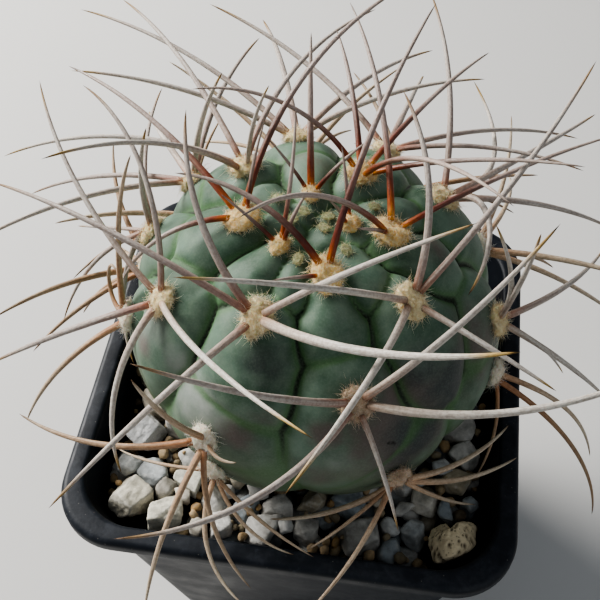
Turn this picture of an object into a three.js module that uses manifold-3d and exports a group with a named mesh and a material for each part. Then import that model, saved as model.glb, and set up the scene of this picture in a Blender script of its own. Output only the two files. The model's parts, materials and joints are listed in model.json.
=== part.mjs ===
// A chin cactus (Gymnocalycium) growing in a square plastic pot.
// Millimetres and degrees, +Z up. The origin is the centre of the pot's flat underside.
import * as THREE from 'three';
import { mergeVertices } from 'three/addons/utils/BufferGeometryUtils.js';
import Module from 'manifold-3d';

const wasm = await Module();
wasm.setup();

// ---------------------------------------------------------------- driving dimensions

const GAP = 0.3; // clearance between pieces that touch
const SLIVER = 0.1; // keeps faces that would lie in one plane apart

const POT = {
  height: 80,
  rimHalf: 45, // half the width over the rim
  baseHalf: 31, // half the width of the foot
  wall: 1.6,
  floor: 2.2,
  lipWidth: 4.2,
  lipDrop: 3.4, // height of the rim's outer skirt
  shoulderHalf: 41.6, // half the width of the wall just under the rim
  cornerRatio: 0.285, // corner radius as a share of the half width
  drainRadius: 3.5,
  drainOffset: 17,
  footBevel: 1,
  innerLip: 2, // height of the slope from the wall's inside up to the lip
};

const SOIL = { top: 66, rootHole: 0.5, holeMouth: 13.6, mouthDepth: 3 };

const GRAVEL = {
  bedTop: 70, // the stones stand out of a solid bed of this height
  reach: 78, // no stone is higher than this
  pitch: 8.2,
  stoneMin: 3.4, // half the length of the smallest stone
  stoneMax: 4.7,
  proportions: [1.1, 0.95, 0.8],
  rise: 0.2, // a stone's middle is over the bed by this share of its size
  plantRadius: 19, // no stone has its middle nearer the plant's axis
  seed: 41,
};

const STONE = { cornerLeast: 0.82, cornerSpread: 0.3, lean: 0.6 }; // how uneven a stone is
const SOCKET = { tiltFirst: 174, tiltLast: 120, tiltStep: 6 }; // the gravel's hollow for the body

const BODY = {
  centre: new THREE.Vector3(1, 1.5, 97),
  radius: 36.8, // half the width
  halfHeight: 33,
  crownDip: 4.5, // depth of the hollow at the growing point
  crownDipAngle: 17, // how far the hollow spreads from the axis
  grooveDepth: 3.8,
  grooveRound: 0.3, // how far a groove spreads over the lobes beside it
  lobeSpan: 5.5, // lobes with less room than this have shallower grooves
  lobeLengths: [15, 26], // how far young and full-grown tubercles run down from their areoles
  lobeTilts: [20, 50], // tubercles grow long between these tilts
  lobeRise: 2, // a tubercle starts this far above its areole
  chinShare: 0.3, // depth of the crease where one tubercle lies below another
  chinSideness: [0.25, 0.7], // from one lying below the other to the two side by side
  calmShare: 0.5, // depth of the grooves low on the plant
  calmTilts: [62, 105],
  reliefEnd: [112, 140], // the tubercles fade out between these tilts
  detail: 13,
};

const ROOT = { top: 68, topRadius: 10.5, sunk: 4, tip: 40, tipRadius: 2.5 };
const ROUND_SIDES = 12; // sides of the root, its hole and the drain holes

const WOOL = {
  halfWidth: 2.8, halfLength: 3.6, halfThickness: 1.3, seat: 0.5, sides: 8, rings: 5,
};
const YOUNGEST = { tilt: 16, size: 0.6 }; // areoles nearer the crown than this have small pads

const SPINE = {
  sides: 3,
  steps: 4,
  radius: 1.0,
  rootHeight: 0.7, // height of a root in its wool pad, as a share of half the pad's thickness
  rootSpread: 1.8, // how far from the middle of the pad a spine starts
  shortLength: 25, // spines shorter than this are thinner
  shortRadius: 0.72,
};

const COLOUR = {
  pot: '#3b424c',
  soil: '#2e2520',
  gravel: '#b9b7b1',
  whiteStone: '#d8d5cc',
  pumice: '#b7a283',
  skin: '#6c8472',
  young: '#8a4a34',
  mature: '#b9a79c',
  old: '#b09078',
};

// Areoles: [turn, tilt, age, spines]. turn is measured from +X around +Z, tilt from the crown.
// A spine is [clock, lift, length, sag, sweep]: clock 0 points at the crown and 90 to the right
// when seen from outside, lift is the rise off the skin at the root, sag is how far the lift
// falls along the spine, and sweep is how far the clock turns along it.
const SHOWN_AREOLES = [
  [-122, 14, 'young', [[-15, 45, 22, 20, -20], [15, 62, 11, 20, 0], [-95, 48, 12, 20, 0]]],
  [-5, 10, 'young', [[-40, 66, 9, 15, 0], [60, 50, 12, 15, 0]]],
  [103, 9, 'young', [[-175, 60, 27, 22, 2], [120, 58, 11, 15, 0], [-90, 55, 13, 15, 0]]],
  [-73, 21, 'young', [[-30, 28, 30, 45, -40], [23, 31, 47, 27, 16], [-100, 35, 9, 10, 0]]],
  [-169, 20, 'young', [
    [-120, 34, 46, 28, -20], [-52, 38, 52, 46, 28], [-30, 62, 17, 15, 0], [175, 24, 25, 70, -10],
  ]],
  [-8, 22, 'young', [
    [62, 28, 45, 37, -3], [135, 35, 43, 26, 4], [-35, 46, 52, 21, -38], [-50, 38, 11, 10, 0],
  ]],
  [57, 21, 'young', [
    [-48, 47, 54, 36, -9], [-102, 38, 38, 22, 0], [125, 42, 30, 30, 0], [60, 48, 34, 62, -22],
    [180, 38, 38, 30, 0],
  ]],
  [142, 30, 'mature', [
    [-157, 42, 54, 27, -15], [-108, 30, 46, 38, 20], [150, 35, 48, 40, -15], [70, 50, 44, 35, 5],
    [0, 55, 24, 20, 0],
  ]],
  [-108, 36, 'mature', [
    [-76, 36, 54, 62, -18], [-55, 30, 35, 35, 35], [50, 36, 41, 25, 3], [92, 36, 47, 22, -30],
    [-158, 32, 43, 30, 0],
  ]],
  [-36, 38, 'mature', [
    [48, 24, 36, 46, -22], [75, 34, 50, 28, -3], [168, 30, 26, 20, -5], [-93, 41, 47, 34, -3],
    [-53, 31, 47, 25, 0],
  ]],
  [30, 45, 'mature', [
    [-168, 31, 40, 29, 0], [162, 37, 49, 19, -10], [97, 40, 44, 26, -7], [166, 20, 43, 10, -88],
    [-66, 56, 30, 130, -10],
  ]],
  [105, 46, 'mature', [
    [-92, 26, 38, 30, 0], [-125, 35, 42, 28, 0], [180, 47, 43, 20, -10], [121, 46, 57, 28, 0],
    [92, 34, 44, 26, 0],
  ]],
  [67, 48, 'mature', [
    [-98, 30, 36, 30, 0], [-140, 34, 46, 28, 0], [165, 40, 38, 28, 0], [104, 28, 50, 25, -24],
  ]],
  [-149, 52, 'mature', [
    [-85, 36, 47, 32, 11], [-20, 24, 42, 6, -88], [-163, 32, 38, 25, 3], [152, 24, 33, 62, -8],
    [65, 23, 52, 29, -4],
  ]],
  [149, 56, 'mature', [
    [-100, 34, 40, 28, 0], [-150, 38, 44, 28, 0], [160, 40, 44, 28, 0], [100, 36, 42, 28, 0],
    [-12, 36, 26, 25, 0],
  ]],
  [-69, 58, 'mature', [
    [-60, 35, 42, 22, 6], [45, 35, 44, 23, -3], [95, 43, 49, 38, -26], [168, 30, 21, 30, 8],
    [-119, 36, 44, 36, 40],
  ]],
  [172, 62, 'mature', [
    [-95, 32, 36, 30, 0], [-168, 36, 22, 12, 6], [174, 29, 31, 44, -29], [181, 2, 34, 53, -67],
    [0, 36, 26, 25, 0],
  ]],
  [-6, 72, 'mature', [
    [124, 33, 41, 26, -9], [-13, 26, 38, 10, -10], [172, 32, 40, 23, -7], [180, 51, 17, 39, 8],
    [-14, 28, 28, 37, 18],
  ]],
  [-163, 77, 'old', [[168, 52, 33, 40, 0], [-24, 10, 40, 14, 44], [-115, 30, 17, 50, 200]]],
  [-114, 80, 'old', [
    [3, 35, 40, 12, 0], [-117, 28, 40, 35, 17], [174, 62, 33, 46, 0], [158, 32, 28, 32, -34],
    [76, 42, 8, 58, -14],
  ]],
  [-113, 99, 'old', [
    [155, 76, 26, 70, -58], [120, 38, 21, 55, -8], [110, 16, 23, 20, 0], [-98, 23, 23, 29, -28],
  ]],
  [-58, 96, 'old', [
    [103, 10, 25, 34, -8], [136, 27, 23, 25, 0], [-112, 41, 28, 25, 0], [-114, 2, 25, 32, -6],
    [-110, 16, 21, 20, -26], [121, 17, 28, 27, -17],
  ]],
  [-13, 91, 'old', [[-173, 70, 45, 60, 0], [148, 64, 37, 46, 40], [-136, 24, 21, 40, 0]]],
];

// Young tubercles near the crown whose areoles are too small to see: [turn, tilt, length].
const BUDS = [
  [-97, 16, 8], [-47, 15, 11], [-170, 6, 5], [-39, 4, 2], [154, 12, 6], [18, 17, 8], [140, 4, 2],
  [23, 4, 2],
];

// Areoles round the back and under the shoulder: [turn, tilt, seed], with spines by rule.
const RULED_AREOLES = [
  [30, 82, 3], [66, 86, 5], [104, 82, 9], [144, 88, 11], [168, 90, 15],
];
const RULED_SPINES = { clocks: [-85, -135, 175, 125, 75], lift: 52, length: 31, sag: 30, vary: 6 };

// Larger loose stones: [name, centre, half sizes, yaw, seed]
const LARGE_STONES = [
  ['pumice_stone', [33, -32.3, 73.6], [5, 4.5, 4.1], 20, 71],
  ['white_stone_1', [-32.3, -32.6, 73], [4.7, 4.1, 3.8], 65, 72],
  ['white_stone_2', [-24.5, -34.5, 73], [4, 3.6, 3.2], 15, 73],
  ['white_stone_3', [-32.4, -17.3, 73.2], [4.5, 4, 3.4], 60, 74],
  ['white_stone_4', [-21, -26.7, 73], [3.2, 2.7, 2.5], -20, 75],
];

// ---------------------------------------------------------------- helpers

const radians = THREE.MathUtils.degToRad;

// A repeatable source of numbers between 0 and 1.
function seeded(seed) {
  let state = seed;
  return () => {
    state = (state * 16807) % 2147483647;
    return state / 2147483647;
  };
}

function toSolid(geometry) {
  const bare = geometry.clone();
  bare.deleteAttribute('normal');
  bare.deleteAttribute('uv');
  const merged = mergeVertices(bare, 1e-4);
  const mesh = new wasm.Mesh({
    numProp: 3,
    vertProperties: new Float32Array(merged.attributes.position.array),
    triVerts: new Uint32Array(merged.index.array),
  });
  return new wasm.Manifold(mesh);
}

function toGeometry(solid) {
  const mesh = solid.getMesh();
  const geometry = new THREE.BufferGeometry();
  geometry.setAttribute('position', new THREE.BufferAttribute(mesh.vertProperties, 3));
  geometry.setIndex(new THREE.BufferAttribute(mesh.triVerts, 1));
  geometry.computeVertexNormals();
  return geometry;
}

// Moves each vertex of a geometry to where place(vertex) puts it.
function reshape(geometry, place) {
  const position = geometry.attributes.position;
  const vertex = new THREE.Vector3();
  for (let i = 0; i < position.count; i += 1) {
    vertex.fromBufferAttribute(position, i);
    const moved = place(vertex.clone());
    position.setXYZ(i, moved.x, moved.y, moved.z);
  }
  return geometry;
}

function largestPiece(solid) {
  const pieces = solid.decompose();
  return pieces.reduce((best, piece) => (piece.volume() > best.volume() ? piece : best));
}

// ---------------------------------------------------------------- rounded square forms

const QUARTER_STEPS = 8; // steps round a quarter of a rounded square
const STRAIGHT_SHARE = 0.125; // share of each quarter turn spent on a straight side

// The point on a rounded square at a turn, for a given half width.
function onRoundedSquare(turn, half) {
  const corner = half * POT.cornerRatio;
  const quarter = Math.PI / 2;
  const index = Math.floor(turn / quarter + 1e-6);
  const share = turn / quarter - index;
  const swing = THREE.MathUtils.clamp((share - STRAIGHT_SHARE) / (1 - 2 * STRAIGHT_SHARE), 0, 1);
  let x = half - corner + corner * Math.cos(swing * quarter);
  let y = half - corner + corner * Math.sin(swing * quarter);
  if (share < STRAIGHT_SHARE / 2) {
    y = 0;
  }
  if (share > 1 - STRAIGHT_SHARE / 2) {
    x = 0;
  }
  return new THREE.Vector2(x, y).rotateAround(new THREE.Vector2(), index * quarter);
}

// A solid whose sections are rounded squares: the profile holds [half width, height] pairs
// from the axis at one end to the axis at the other.
function squareTurned(profile) {
  const points = profile.map(([half, z]) => new THREE.Vector2(half, z));
  const geometry = new THREE.LatheGeometry(points, 4 * QUARTER_STEPS);
  geometry.rotateX(Math.PI / 2);
  return reshape(geometry, (vertex) => {
    const half = Math.hypot(vertex.x, vertex.y);
    if (half < 1e-3) {
      return new THREE.Vector3(0, 0, vertex.z);
    }
    const turn = (Math.atan2(vertex.y, vertex.x) + 2 * Math.PI) % (2 * Math.PI);
    const place = onRoundedSquare(turn, half);
    return new THREE.Vector3(place.x, place.y, vertex.z);
  });
}

// Half the width of the pot's inner wall at a height.
function innerHalf(z) {
  const share = z / (POT.height - POT.lipDrop);
  return THREE.MathUtils.lerp(POT.baseHalf, POT.shoulderHalf, share) - POT.wall;
}

// ---------------------------------------------------------------- pot

function makePot() {
  const underRim = POT.height - POT.lipDrop;
  const innerRim = POT.rimHalf - POT.lipWidth;
  const wall = squareTurned([
    [0, 0],
    [POT.baseHalf - POT.footBevel, 0],
    [POT.baseHalf, POT.footBevel],
    [POT.shoulderHalf, underRim],
    [POT.rimHalf - 0.2, underRim],
    [POT.rimHalf, underRim + 0.6],
    [POT.rimHalf - 0.4, POT.height - 0.9],
    [POT.rimHalf - 1.3, POT.height],
    [innerRim + 0.9, POT.height],
    [innerRim, POT.height - 0.8],
    [innerHalf(underRim - POT.innerLip), underRim - POT.innerLip],
    [innerHalf(POT.floor), POT.floor],
    [0, POT.floor],
  ]);
  let pot = toSolid(wall);
  for (const [x, y] of [[1, 1], [-1, 1], [-1, -1], [1, -1]]) {
    const drain = new THREE.CylinderGeometry(
      POT.drainRadius, POT.drainRadius, 3 * POT.floor, ROUND_SIDES);
    drain.rotateX(Math.PI / 2);
    drain.translate(x * POT.drainOffset, y * POT.drainOffset, POT.floor / 2);
    pot = pot.subtract(toSolid(drain));
  }
  return toGeometry(pot);
}

// ---------------------------------------------------------------- cactus body

// The unit direction that a turn and a tilt from the crown give.
function direction(turn, tilt) {
  const t = radians(tilt);
  const a = radians(turn);
  return new THREE.Vector3(Math.sin(t) * Math.cos(a), Math.sin(t) * Math.sin(a), Math.cos(t));
}

function lobeLength(tilt) {
  return THREE.MathUtils.mapLinear(
    THREE.MathUtils.smoothstep(tilt, ...BODY.lobeTilts), 0, 1, ...BODY.lobeLengths);
}

// The ridge of each tubercle, from its areole outwards, on a globe of radius 1.
const LOBES = [
  ...[...SHOWN_AREOLES, ...RULED_AREOLES].map(
    ([turn, tilt]) => [turn, tilt - BODY.lobeRise, lobeLength(tilt)]),
  ...BUDS,
].map(([turn, tilt, length]) => ({
  turn,
  tilt,
  middle: tilt + length / 2,
  ridge: new THREE.Line3(direction(turn, tilt), direction(turn, tilt + length)),
}));

// How deep the groove between two tubercles is: shallow if one lies below the other.
function grooveShare(first, second) {
  const turn = THREE.MathUtils.euclideanModulo(first.turn - second.turn + 180, 360) - 180;
  const across = Math.abs(turn) * Math.sin(radians((first.middle + second.middle) / 2));
  const sideness = across / Math.hypot(across, first.middle - second.middle);
  const side = THREE.MathUtils.smoothstep(sideness, ...BODY.chinSideness);
  const grown = THREE.MathUtils.smoothstep(Math.max(first.tilt, second.tilt), ...BODY.lobeTilts);
  return 1 - (1 - BODY.chinShare) * grown * (1 - side);
}

const NEIGHBOURS = LOBES.flatMap((lobe, second) => LOBES.slice(0, second).map(
  (other, first) => ({ first, second, share: grooveShare(other, lobe) })));

// Depth of the skin below the smooth globe: grooves run where two tubercles are equally near.
function relief(way) {
  const foot = new THREE.Vector3();
  const reaches = LOBES.map(({ ridge }) => (
    BODY.radius * ridge.closestPointToPoint(way, true, foot).distanceTo(way)));
  const nearest = Math.min(...reaches);
  const grooves = NEIGHBOURS.map(({ first, second, share }) => {
    const farther = Math.max(reaches[first], reaches[second]);
    const clear = (farther - nearest) / (farther + nearest);
    return share * Math.min(1, farther / BODY.lobeSpan) * Math.exp(-clear / BODY.grooveRound);
  });
  const tilt = THREE.MathUtils.radToDeg(Math.acos(THREE.MathUtils.clamp(way.z, -1, 1)));
  const calm = 1 - (1 - BODY.calmShare) * THREE.MathUtils.smoothstep(tilt, ...BODY.calmTilts);
  const fade = calm * (1 - THREE.MathUtils.smoothstep(tilt, ...BODY.reliefEnd));
  return -BODY.grooveDepth * fade * Math.max(...grooves);
}

// Outward direction of the smooth globe.
function outward(way) {
  const { radius, halfHeight } = BODY;
  return new THREE.Vector3(way.x / radius, way.y / radius, way.z / halfHeight).normalize();
}

// The point on the skin in a direction from the middle of the globe.
function skin(way) {
  const tilt = THREE.MathUtils.radToDeg(Math.acos(THREE.MathUtils.clamp(way.z, -1, 1)));
  const dip = BODY.crownDip * Math.exp(-((tilt / BODY.crownDipAngle) ** 2));
  const { radius, halfHeight } = BODY;
  const smooth = new THREE.Vector3(radius * way.x, radius * way.y, halfHeight * way.z - dip);
  return smooth.add(BODY.centre).addScaledVector(outward(way), relief(way));
}

// The globe and its tap root grew as one piece.
function makeBody() {
  const { x, y } = BODY.centre;
  const ball = new THREE.IcosahedronGeometry(1, BODY.detail);
  const globe = toSolid(reshape(ball, (vertex) => skin(vertex.normalize())));
  const root = new THREE.LatheGeometry([
    new THREE.Vector2(0, ROOT.tip),
    new THREE.Vector2(ROOT.tipRadius, ROOT.tip),
    new THREE.Vector2(ROOT.topRadius, ROOT.top),
    new THREE.Vector2(0, ROOT.top + ROOT.sunk),
  ], ROUND_SIDES);
  root.rotateX(Math.PI / 2);
  root.translate(x, y, 0);
  return toGeometry(globe.add(toSolid(root)));
}

// ---------------------------------------------------------------- soil and gravel

function makeSoil() {
  const block = squareTurned([
    [0, POT.floor + GAP],
    [innerHalf(POT.floor) - 2 * GAP, POT.floor + GAP],
    [innerHalf(SOIL.top) - 2 * GAP, SOIL.top],
    [0, SOIL.top],
  ]);
  const hole = new THREE.LatheGeometry([
    new THREE.Vector2(0, ROOT.tip - SOIL.rootHole),
    new THREE.Vector2(ROOT.tipRadius + SOIL.rootHole, ROOT.tip - SOIL.rootHole),
    new THREE.Vector2(ROOT.topRadius + SOIL.rootHole, SOIL.top - SOIL.mouthDepth),
    new THREE.Vector2(SOIL.holeMouth, SOIL.top + SLIVER),
    new THREE.Vector2(0, SOIL.top + SLIVER),
  ], ROUND_SIDES);
  hole.rotateX(Math.PI / 2);
  hole.translate(BODY.centre.x, BODY.centre.y, 0);
  return toGeometry(toSolid(block).subtract(toSolid(hole)));
}

// One angular stone: an icosahedron with uneven corners, a little larger by grow all round.
function stone(halfSizes, centre, yaw, draw, grow = 0) {
  const bare = new THREE.IcosahedronGeometry(1, 0);
  bare.deleteAttribute('normal');
  bare.deleteAttribute('uv');
  const turn = new THREE.Matrix4().makeRotationFromEuler(
    new THREE.Euler(draw() * STONE.lean, draw() * STONE.lean, radians(yaw)));
  return reshape(mergeVertices(bare), (vertex) => {
    const corner = vertex.multiplyScalar(STONE.cornerLeast + STONE.cornerSpread * draw());
    corner.multiply(new THREE.Vector3(...halfSizes.map((half) => half + grow)));
    return corner.applyMatrix4(turn).add(new THREE.Vector3(...centre));
  });
}

function makeLargeStone([, centre, halfSizes, yaw, seed], grow = 0) {
  return stone(halfSizes, centre, yaw, seeded(seed), grow);
}

// The smooth hollow that the underside of the body lies in.
function bodySocket() {
  const { centre, radius, halfHeight } = BODY;
  const profile = [new THREE.Vector2(0, centre.z - halfHeight - 2 * GAP)];
  for (let tilt = SOCKET.tiltFirst; tilt >= SOCKET.tiltLast; tilt -= SOCKET.tiltStep) {
    const { x, z } = direction(0, tilt);
    const out = new THREE.Vector2(radius * x, halfHeight * z);
    out.setLength(out.length() + 2 * GAP);
    profile.push(new THREE.Vector2(out.x, centre.z + out.y));
  }
  profile.push(new THREE.Vector2(0, profile[profile.length - 1].y));
  const hollow = new THREE.LatheGeometry(profile, 2 * ROUND_SIDES);
  hollow.rotateX(Math.PI / 2);
  hollow.translate(centre.x, centre.y, 0);
  return toSolid(hollow);
}

// The loose stones lie on each other, so they are one body that reaches the pot's wall.
function makeGravel() {
  const inside = innerHalf(SOIL.top) - 2 * GAP;
  const outside = innerHalf(GRAVEL.bedTop) - 2 * GAP;
  const bed = squareTurned([
    [0, SOIL.top + GAP],
    [inside, SOIL.top + GAP],
    [inside, GRAVEL.bedTop],
    [0, GRAVEL.bedTop],
  ]);
  const fence = toSolid(squareTurned([
    [0, SOIL.top + GAP],
    [inside, SOIL.top + GAP],
    [outside, GRAVEL.reach],
    [0, GRAVEL.reach],
  ]));
  const draw = seeded(GRAVEL.seed);
  const count = Math.round((2 * inside) / GRAVEL.pitch);
  const stones = [toSolid(bed)];
  for (let row = 0; row < count; row += 1) {
    for (let column = 0; column < count; column += 1) {
      const size = THREE.MathUtils.lerp(GRAVEL.stoneMin, GRAVEL.stoneMax, draw());
      const x = -inside + (column + 0.5 + 0.5 * (draw() - 0.5)) * GRAVEL.pitch;
      const y = -inside + (row + 0.5 + 0.5 * (draw() - 0.5)) * GRAVEL.pitch;
      const halfSizes = GRAVEL.proportions.map((share) => share * size);
      const yaw = 360 * draw();
      const piece = stone(halfSizes, [x, y, GRAVEL.bedTop + GRAVEL.rise * size], yaw, draw);
      if (Math.hypot(x - BODY.centre.x, y - BODY.centre.y) > GRAVEL.plantRadius) {
        stones.push(toSolid(piece));
      }
    }
  }
  let gravel = wasm.Manifold.union(stones).intersect(fence).subtract(bodySocket());
  for (const large of LARGE_STONES) {
    gravel = gravel.subtract(toSolid(makeLargeStone(large, GAP + SLIVER)));
  }
  return toGeometry(largestPiece(gravel));
}

// ---------------------------------------------------------------- areoles

// The axes at an areole: out of the skin, towards the crown, and to the right of that.
function areoleAxes(turn, tilt, size) {
  const way = direction(turn, tilt);
  const out = outward(way);
  const t = radians(tilt);
  const a = radians(turn);
  const crown = new THREE.Vector3(
    -BODY.radius * Math.cos(t) * Math.cos(a),
    -BODY.radius * Math.cos(t) * Math.sin(a),
    BODY.halfHeight * Math.sin(t),
  );
  crown.addScaledVector(out, -crown.dot(out)).normalize();
  const right = new THREE.Vector3().crossVectors(crown, out);
  return { seat: skin(way), out, crown, right, size };
}

// The directions and points of a spine's axis, step by step from its root.
function spineAxis(axes, [clock, lift, length, sag, sweep], steps) {
  const { out, crown, right } = axes;
  const heading = (share) => {
    const a = radians(clock + sweep * share);
    const l = radians(lift - sag * share);
    return new THREE.Vector3()
      .addScaledVector(crown, Math.cos(l) * Math.cos(a))
      .addScaledVector(right, Math.cos(l) * Math.sin(a))
      .addScaledVector(out, Math.sin(l));
  };
  const start = heading(0);
  const flat = start.clone().addScaledVector(out, -start.dot(out)).normalize();
  const point = axes.seat.clone()
    .addScaledVector(out, WOOL.seat + WOOL.halfThickness * SPINE.rootHeight)
    .addScaledVector(flat, SPINE.rootSpread * axes.size);
  const axis = [{ point: point.clone(), way: start }];
  for (let step = 0; step < steps; step += 1) {
    point.addScaledVector(heading((step + 0.5) / steps), length / steps);
    axis.push({ point: point.clone(), way: heading((step + 1) / steps) });
  }
  return axis;
}

// Spines stay nearly full to the last fifth, then run out to a sharp tip.
function spineFullness(share) {
  return (1 - 0.4 * share) * Math.sqrt(1 - share ** 5);
}

function makeSpine(axes, spine) {
  const length = spine[2];
  const thick = length < SPINE.shortLength ? SPINE.shortRadius : SPINE.radius;
  const axis = spineAxis(axes, spine, SPINE.steps);
  const cone = new THREE.CylinderGeometry(0, 1, 1, SPINE.sides, SPINE.steps);
  return reshape(cone, (vertex) => {
    const share = vertex.y + 0.5;
    const { point, way } = axis[Math.round(share * SPINE.steps)];
    const side = new THREE.Vector3().crossVectors(axes.out, way).normalize();
    const over = new THREE.Vector3().crossVectors(side, way);
    const around = Math.atan2(vertex.z, vertex.x);
    const across = share > 0.999 || Math.hypot(vertex.x, vertex.z) < 1e-6
      ? 0 : thick * spineFullness(share);
    return point.clone()
      .addScaledVector(side, across * Math.cos(around))
      .addScaledVector(over, across * Math.sin(around));
  });
}

function makeAreole(turn, tilt, spines, size) {
  const axes = areoleAxes(turn, tilt, size);
  const pad = new THREE.SphereGeometry(1, WOOL.sides, WOOL.rings);
  const basis = new THREE.Matrix4().makeBasis(
    axes.right.clone().multiplyScalar(WOOL.halfWidth * size),
    axes.out.clone().multiplyScalar(WOOL.halfThickness),
    axes.crown.clone().multiplyScalar(-WOOL.halfLength * size),
  );
  basis.setPosition(axes.seat.clone().addScaledVector(axes.out, WOOL.seat + WOOL.halfThickness));
  pad.applyMatrix4(basis);
  let bunch = toSolid(pad);
  for (const spine of spines) {
    bunch = bunch.add(toSolid(makeSpine(axes, spine)));
  }
  return toGeometry(bunch);
}

// The spines of an areole that follows the common rule, each a little different.
// The first value after a small seed is always small, so the seed is spread out by a prime.
function ruledSpines(seed) {
  const draw = seeded(seed * 7919);
  const { clocks, lift, length, sag, vary } = RULED_SPINES;
  const about = (middle) => middle + vary * (2 * draw() - 1);
  return clocks.map((clock) => [about(clock), about(lift), about(length), about(sag), about(0)]);
}

// ---------------------------------------------------------------- assembly

const cactus = new THREE.Group();

function place(name, geometry, colour, roughness) {
  const material = new THREE.MeshStandardMaterial({ color: colour, roughness, metalness: 0 });
  const mesh = new THREE.Mesh(geometry, material);
  mesh.name = name;
  cactus.add(mesh);
}

place('pot', makePot(), COLOUR.pot, 0.5);
place('soil', makeSoil(), COLOUR.soil, 1);
place('gravel', makeGravel(), COLOUR.gravel, 0.9);
for (const large of LARGE_STONES) {
  const colour = large[0] === 'pumice_stone' ? COLOUR.pumice : COLOUR.whiteStone;
  place(large[0], makeLargeStone(large), colour, 0.9);
}
place('cactus_body', makeBody(), COLOUR.skin, 0.6);

const areoles = [
  ...SHOWN_AREOLES,
  ...RULED_AREOLES.map(([turn, tilt, seed]) => [turn, tilt, 'old', ruledSpines(seed)]),
];
areoles.forEach(([turn, tilt, age, spines], index) => {
  const size = tilt < YOUNGEST.tilt ? YOUNGEST.size : 1;
  const name = `areole_${String(index + 1).padStart(2, '0')}`;
  place(name, makeAreole(turn, tilt, spines, size), COLOUR[age], 0.6);
});

export default cactus;
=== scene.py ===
"""The finished look of a chin cactus in a square pot, laid out as a Blender add-on.

Everything is in metres, in the frame of the packed model: +Z is up and the origin is the
centre of the pot's underside. Angles in the tables are degrees.
"""

import json
import math
import random

import bmesh
import bpy
import numpy as np
from mathutils import Matrix, Vector, noise

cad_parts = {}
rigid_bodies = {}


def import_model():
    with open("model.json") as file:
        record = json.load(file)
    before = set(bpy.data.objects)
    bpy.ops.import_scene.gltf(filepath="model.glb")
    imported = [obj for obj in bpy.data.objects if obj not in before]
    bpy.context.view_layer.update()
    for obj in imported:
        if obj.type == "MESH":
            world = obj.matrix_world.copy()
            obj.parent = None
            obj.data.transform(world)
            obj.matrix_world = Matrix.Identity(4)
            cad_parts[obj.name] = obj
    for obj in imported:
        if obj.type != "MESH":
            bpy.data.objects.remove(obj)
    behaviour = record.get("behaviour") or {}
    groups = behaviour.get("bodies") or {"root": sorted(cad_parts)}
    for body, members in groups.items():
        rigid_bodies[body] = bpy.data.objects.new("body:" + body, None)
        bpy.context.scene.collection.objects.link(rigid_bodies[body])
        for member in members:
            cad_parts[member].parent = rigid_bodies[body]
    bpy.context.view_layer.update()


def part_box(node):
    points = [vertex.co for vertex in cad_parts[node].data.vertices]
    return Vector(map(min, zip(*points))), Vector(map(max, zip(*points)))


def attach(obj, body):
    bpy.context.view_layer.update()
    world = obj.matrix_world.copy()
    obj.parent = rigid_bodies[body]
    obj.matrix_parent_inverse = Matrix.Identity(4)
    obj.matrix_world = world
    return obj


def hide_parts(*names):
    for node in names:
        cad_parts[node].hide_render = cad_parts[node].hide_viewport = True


bl_info = {
    "name": "Chin cactus",
    "version": (1, 0, 0),
    "blender": (4, 5, 0),
    "location": "View3D > Sidebar > Cactus",
    "description": "Builds a potted chin cactus, its gravel and its stage",
    "category": "Add Mesh",
}

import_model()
MM = 0.001

# ---------------------------------------------------------------- the plant's measures

POT_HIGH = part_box("pot")[1]
SOIL_LOW, SOIL_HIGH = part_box("soil")
GRAVEL_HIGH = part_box("gravel")[1]

# The pot. Its pairs are a step sideways and a step in height.
POT = {
    "height": POT_HIGH.z,
    "rim_half": POT_HIGH.x,
    "base_half": 31 * MM,
    "shoulder_half": 41.6 * MM,
    "wall": 1.6 * MM,
    "floor": 2.2 * MM,
    "foot_round": 1.0 * MM,
    "floor_round": 0.8 * MM,
    "step_drop": 17 * MM,
    "step_depth": 0.35 * MM,
    "step_height": 0.5 * MM,
    "above_step": 6 * MM,
    "below_rim": 4 * MM,
    "rim_fillet": (0.4 * MM, 0.3 * MM),
    "lip_width": 4.2 * MM,
    "lip_drop": 3.4 * MM,
    "lip_under_round": 0.5 * MM,
    "lip_outer_round": 1.3 * MM,
    "lip_inner_round": 0.9 * MM,
    "lip_edge": 0.1 * MM,
    "lip_flat": (0.8 * MM, 0.02 * MM),
    "lip_lean": (0.2 * MM, 0.6 * MM),
    "below_lip": 2 * MM,
    "corner_ratio": 0.285,
    "corner_steps": 14,
    "drain_radius": 3.5 * MM,
    "drain_offset": 17 * MM,
    "drain_sides": 32,
    "sharp_angle": 38,
}
CORNERS = ((1, 1), (-1, 1), (-1, -1), (1, -1))

# Heights of the rings of edges round the pot's wall, outside and inside.
OUTER_RINGS = [z * MM for z in (6, 14, 24, 34, 44, 52)]
INNER_RINGS = [z * MM for z in (62, 50, 36, 20)]

SOIL = {
    "cells": 72,
    "drop": 0.5 * MM,
    "gap": 0.6 * MM,
    "floor_gap": 0.9 * MM,
    "corner_power": 5.0,
    "lump_density": 14,
    "lump_height": 0.5 * MM,
    "hollow": 0.3 * MM,
    "fade_power": 6,
}

# Dimension, lacunarity and octaves of the noises.
SOIL_NOISE = (0.8, 2.0, 4)
STONE_NOISE = (0.9, 2.1, 4)

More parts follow.
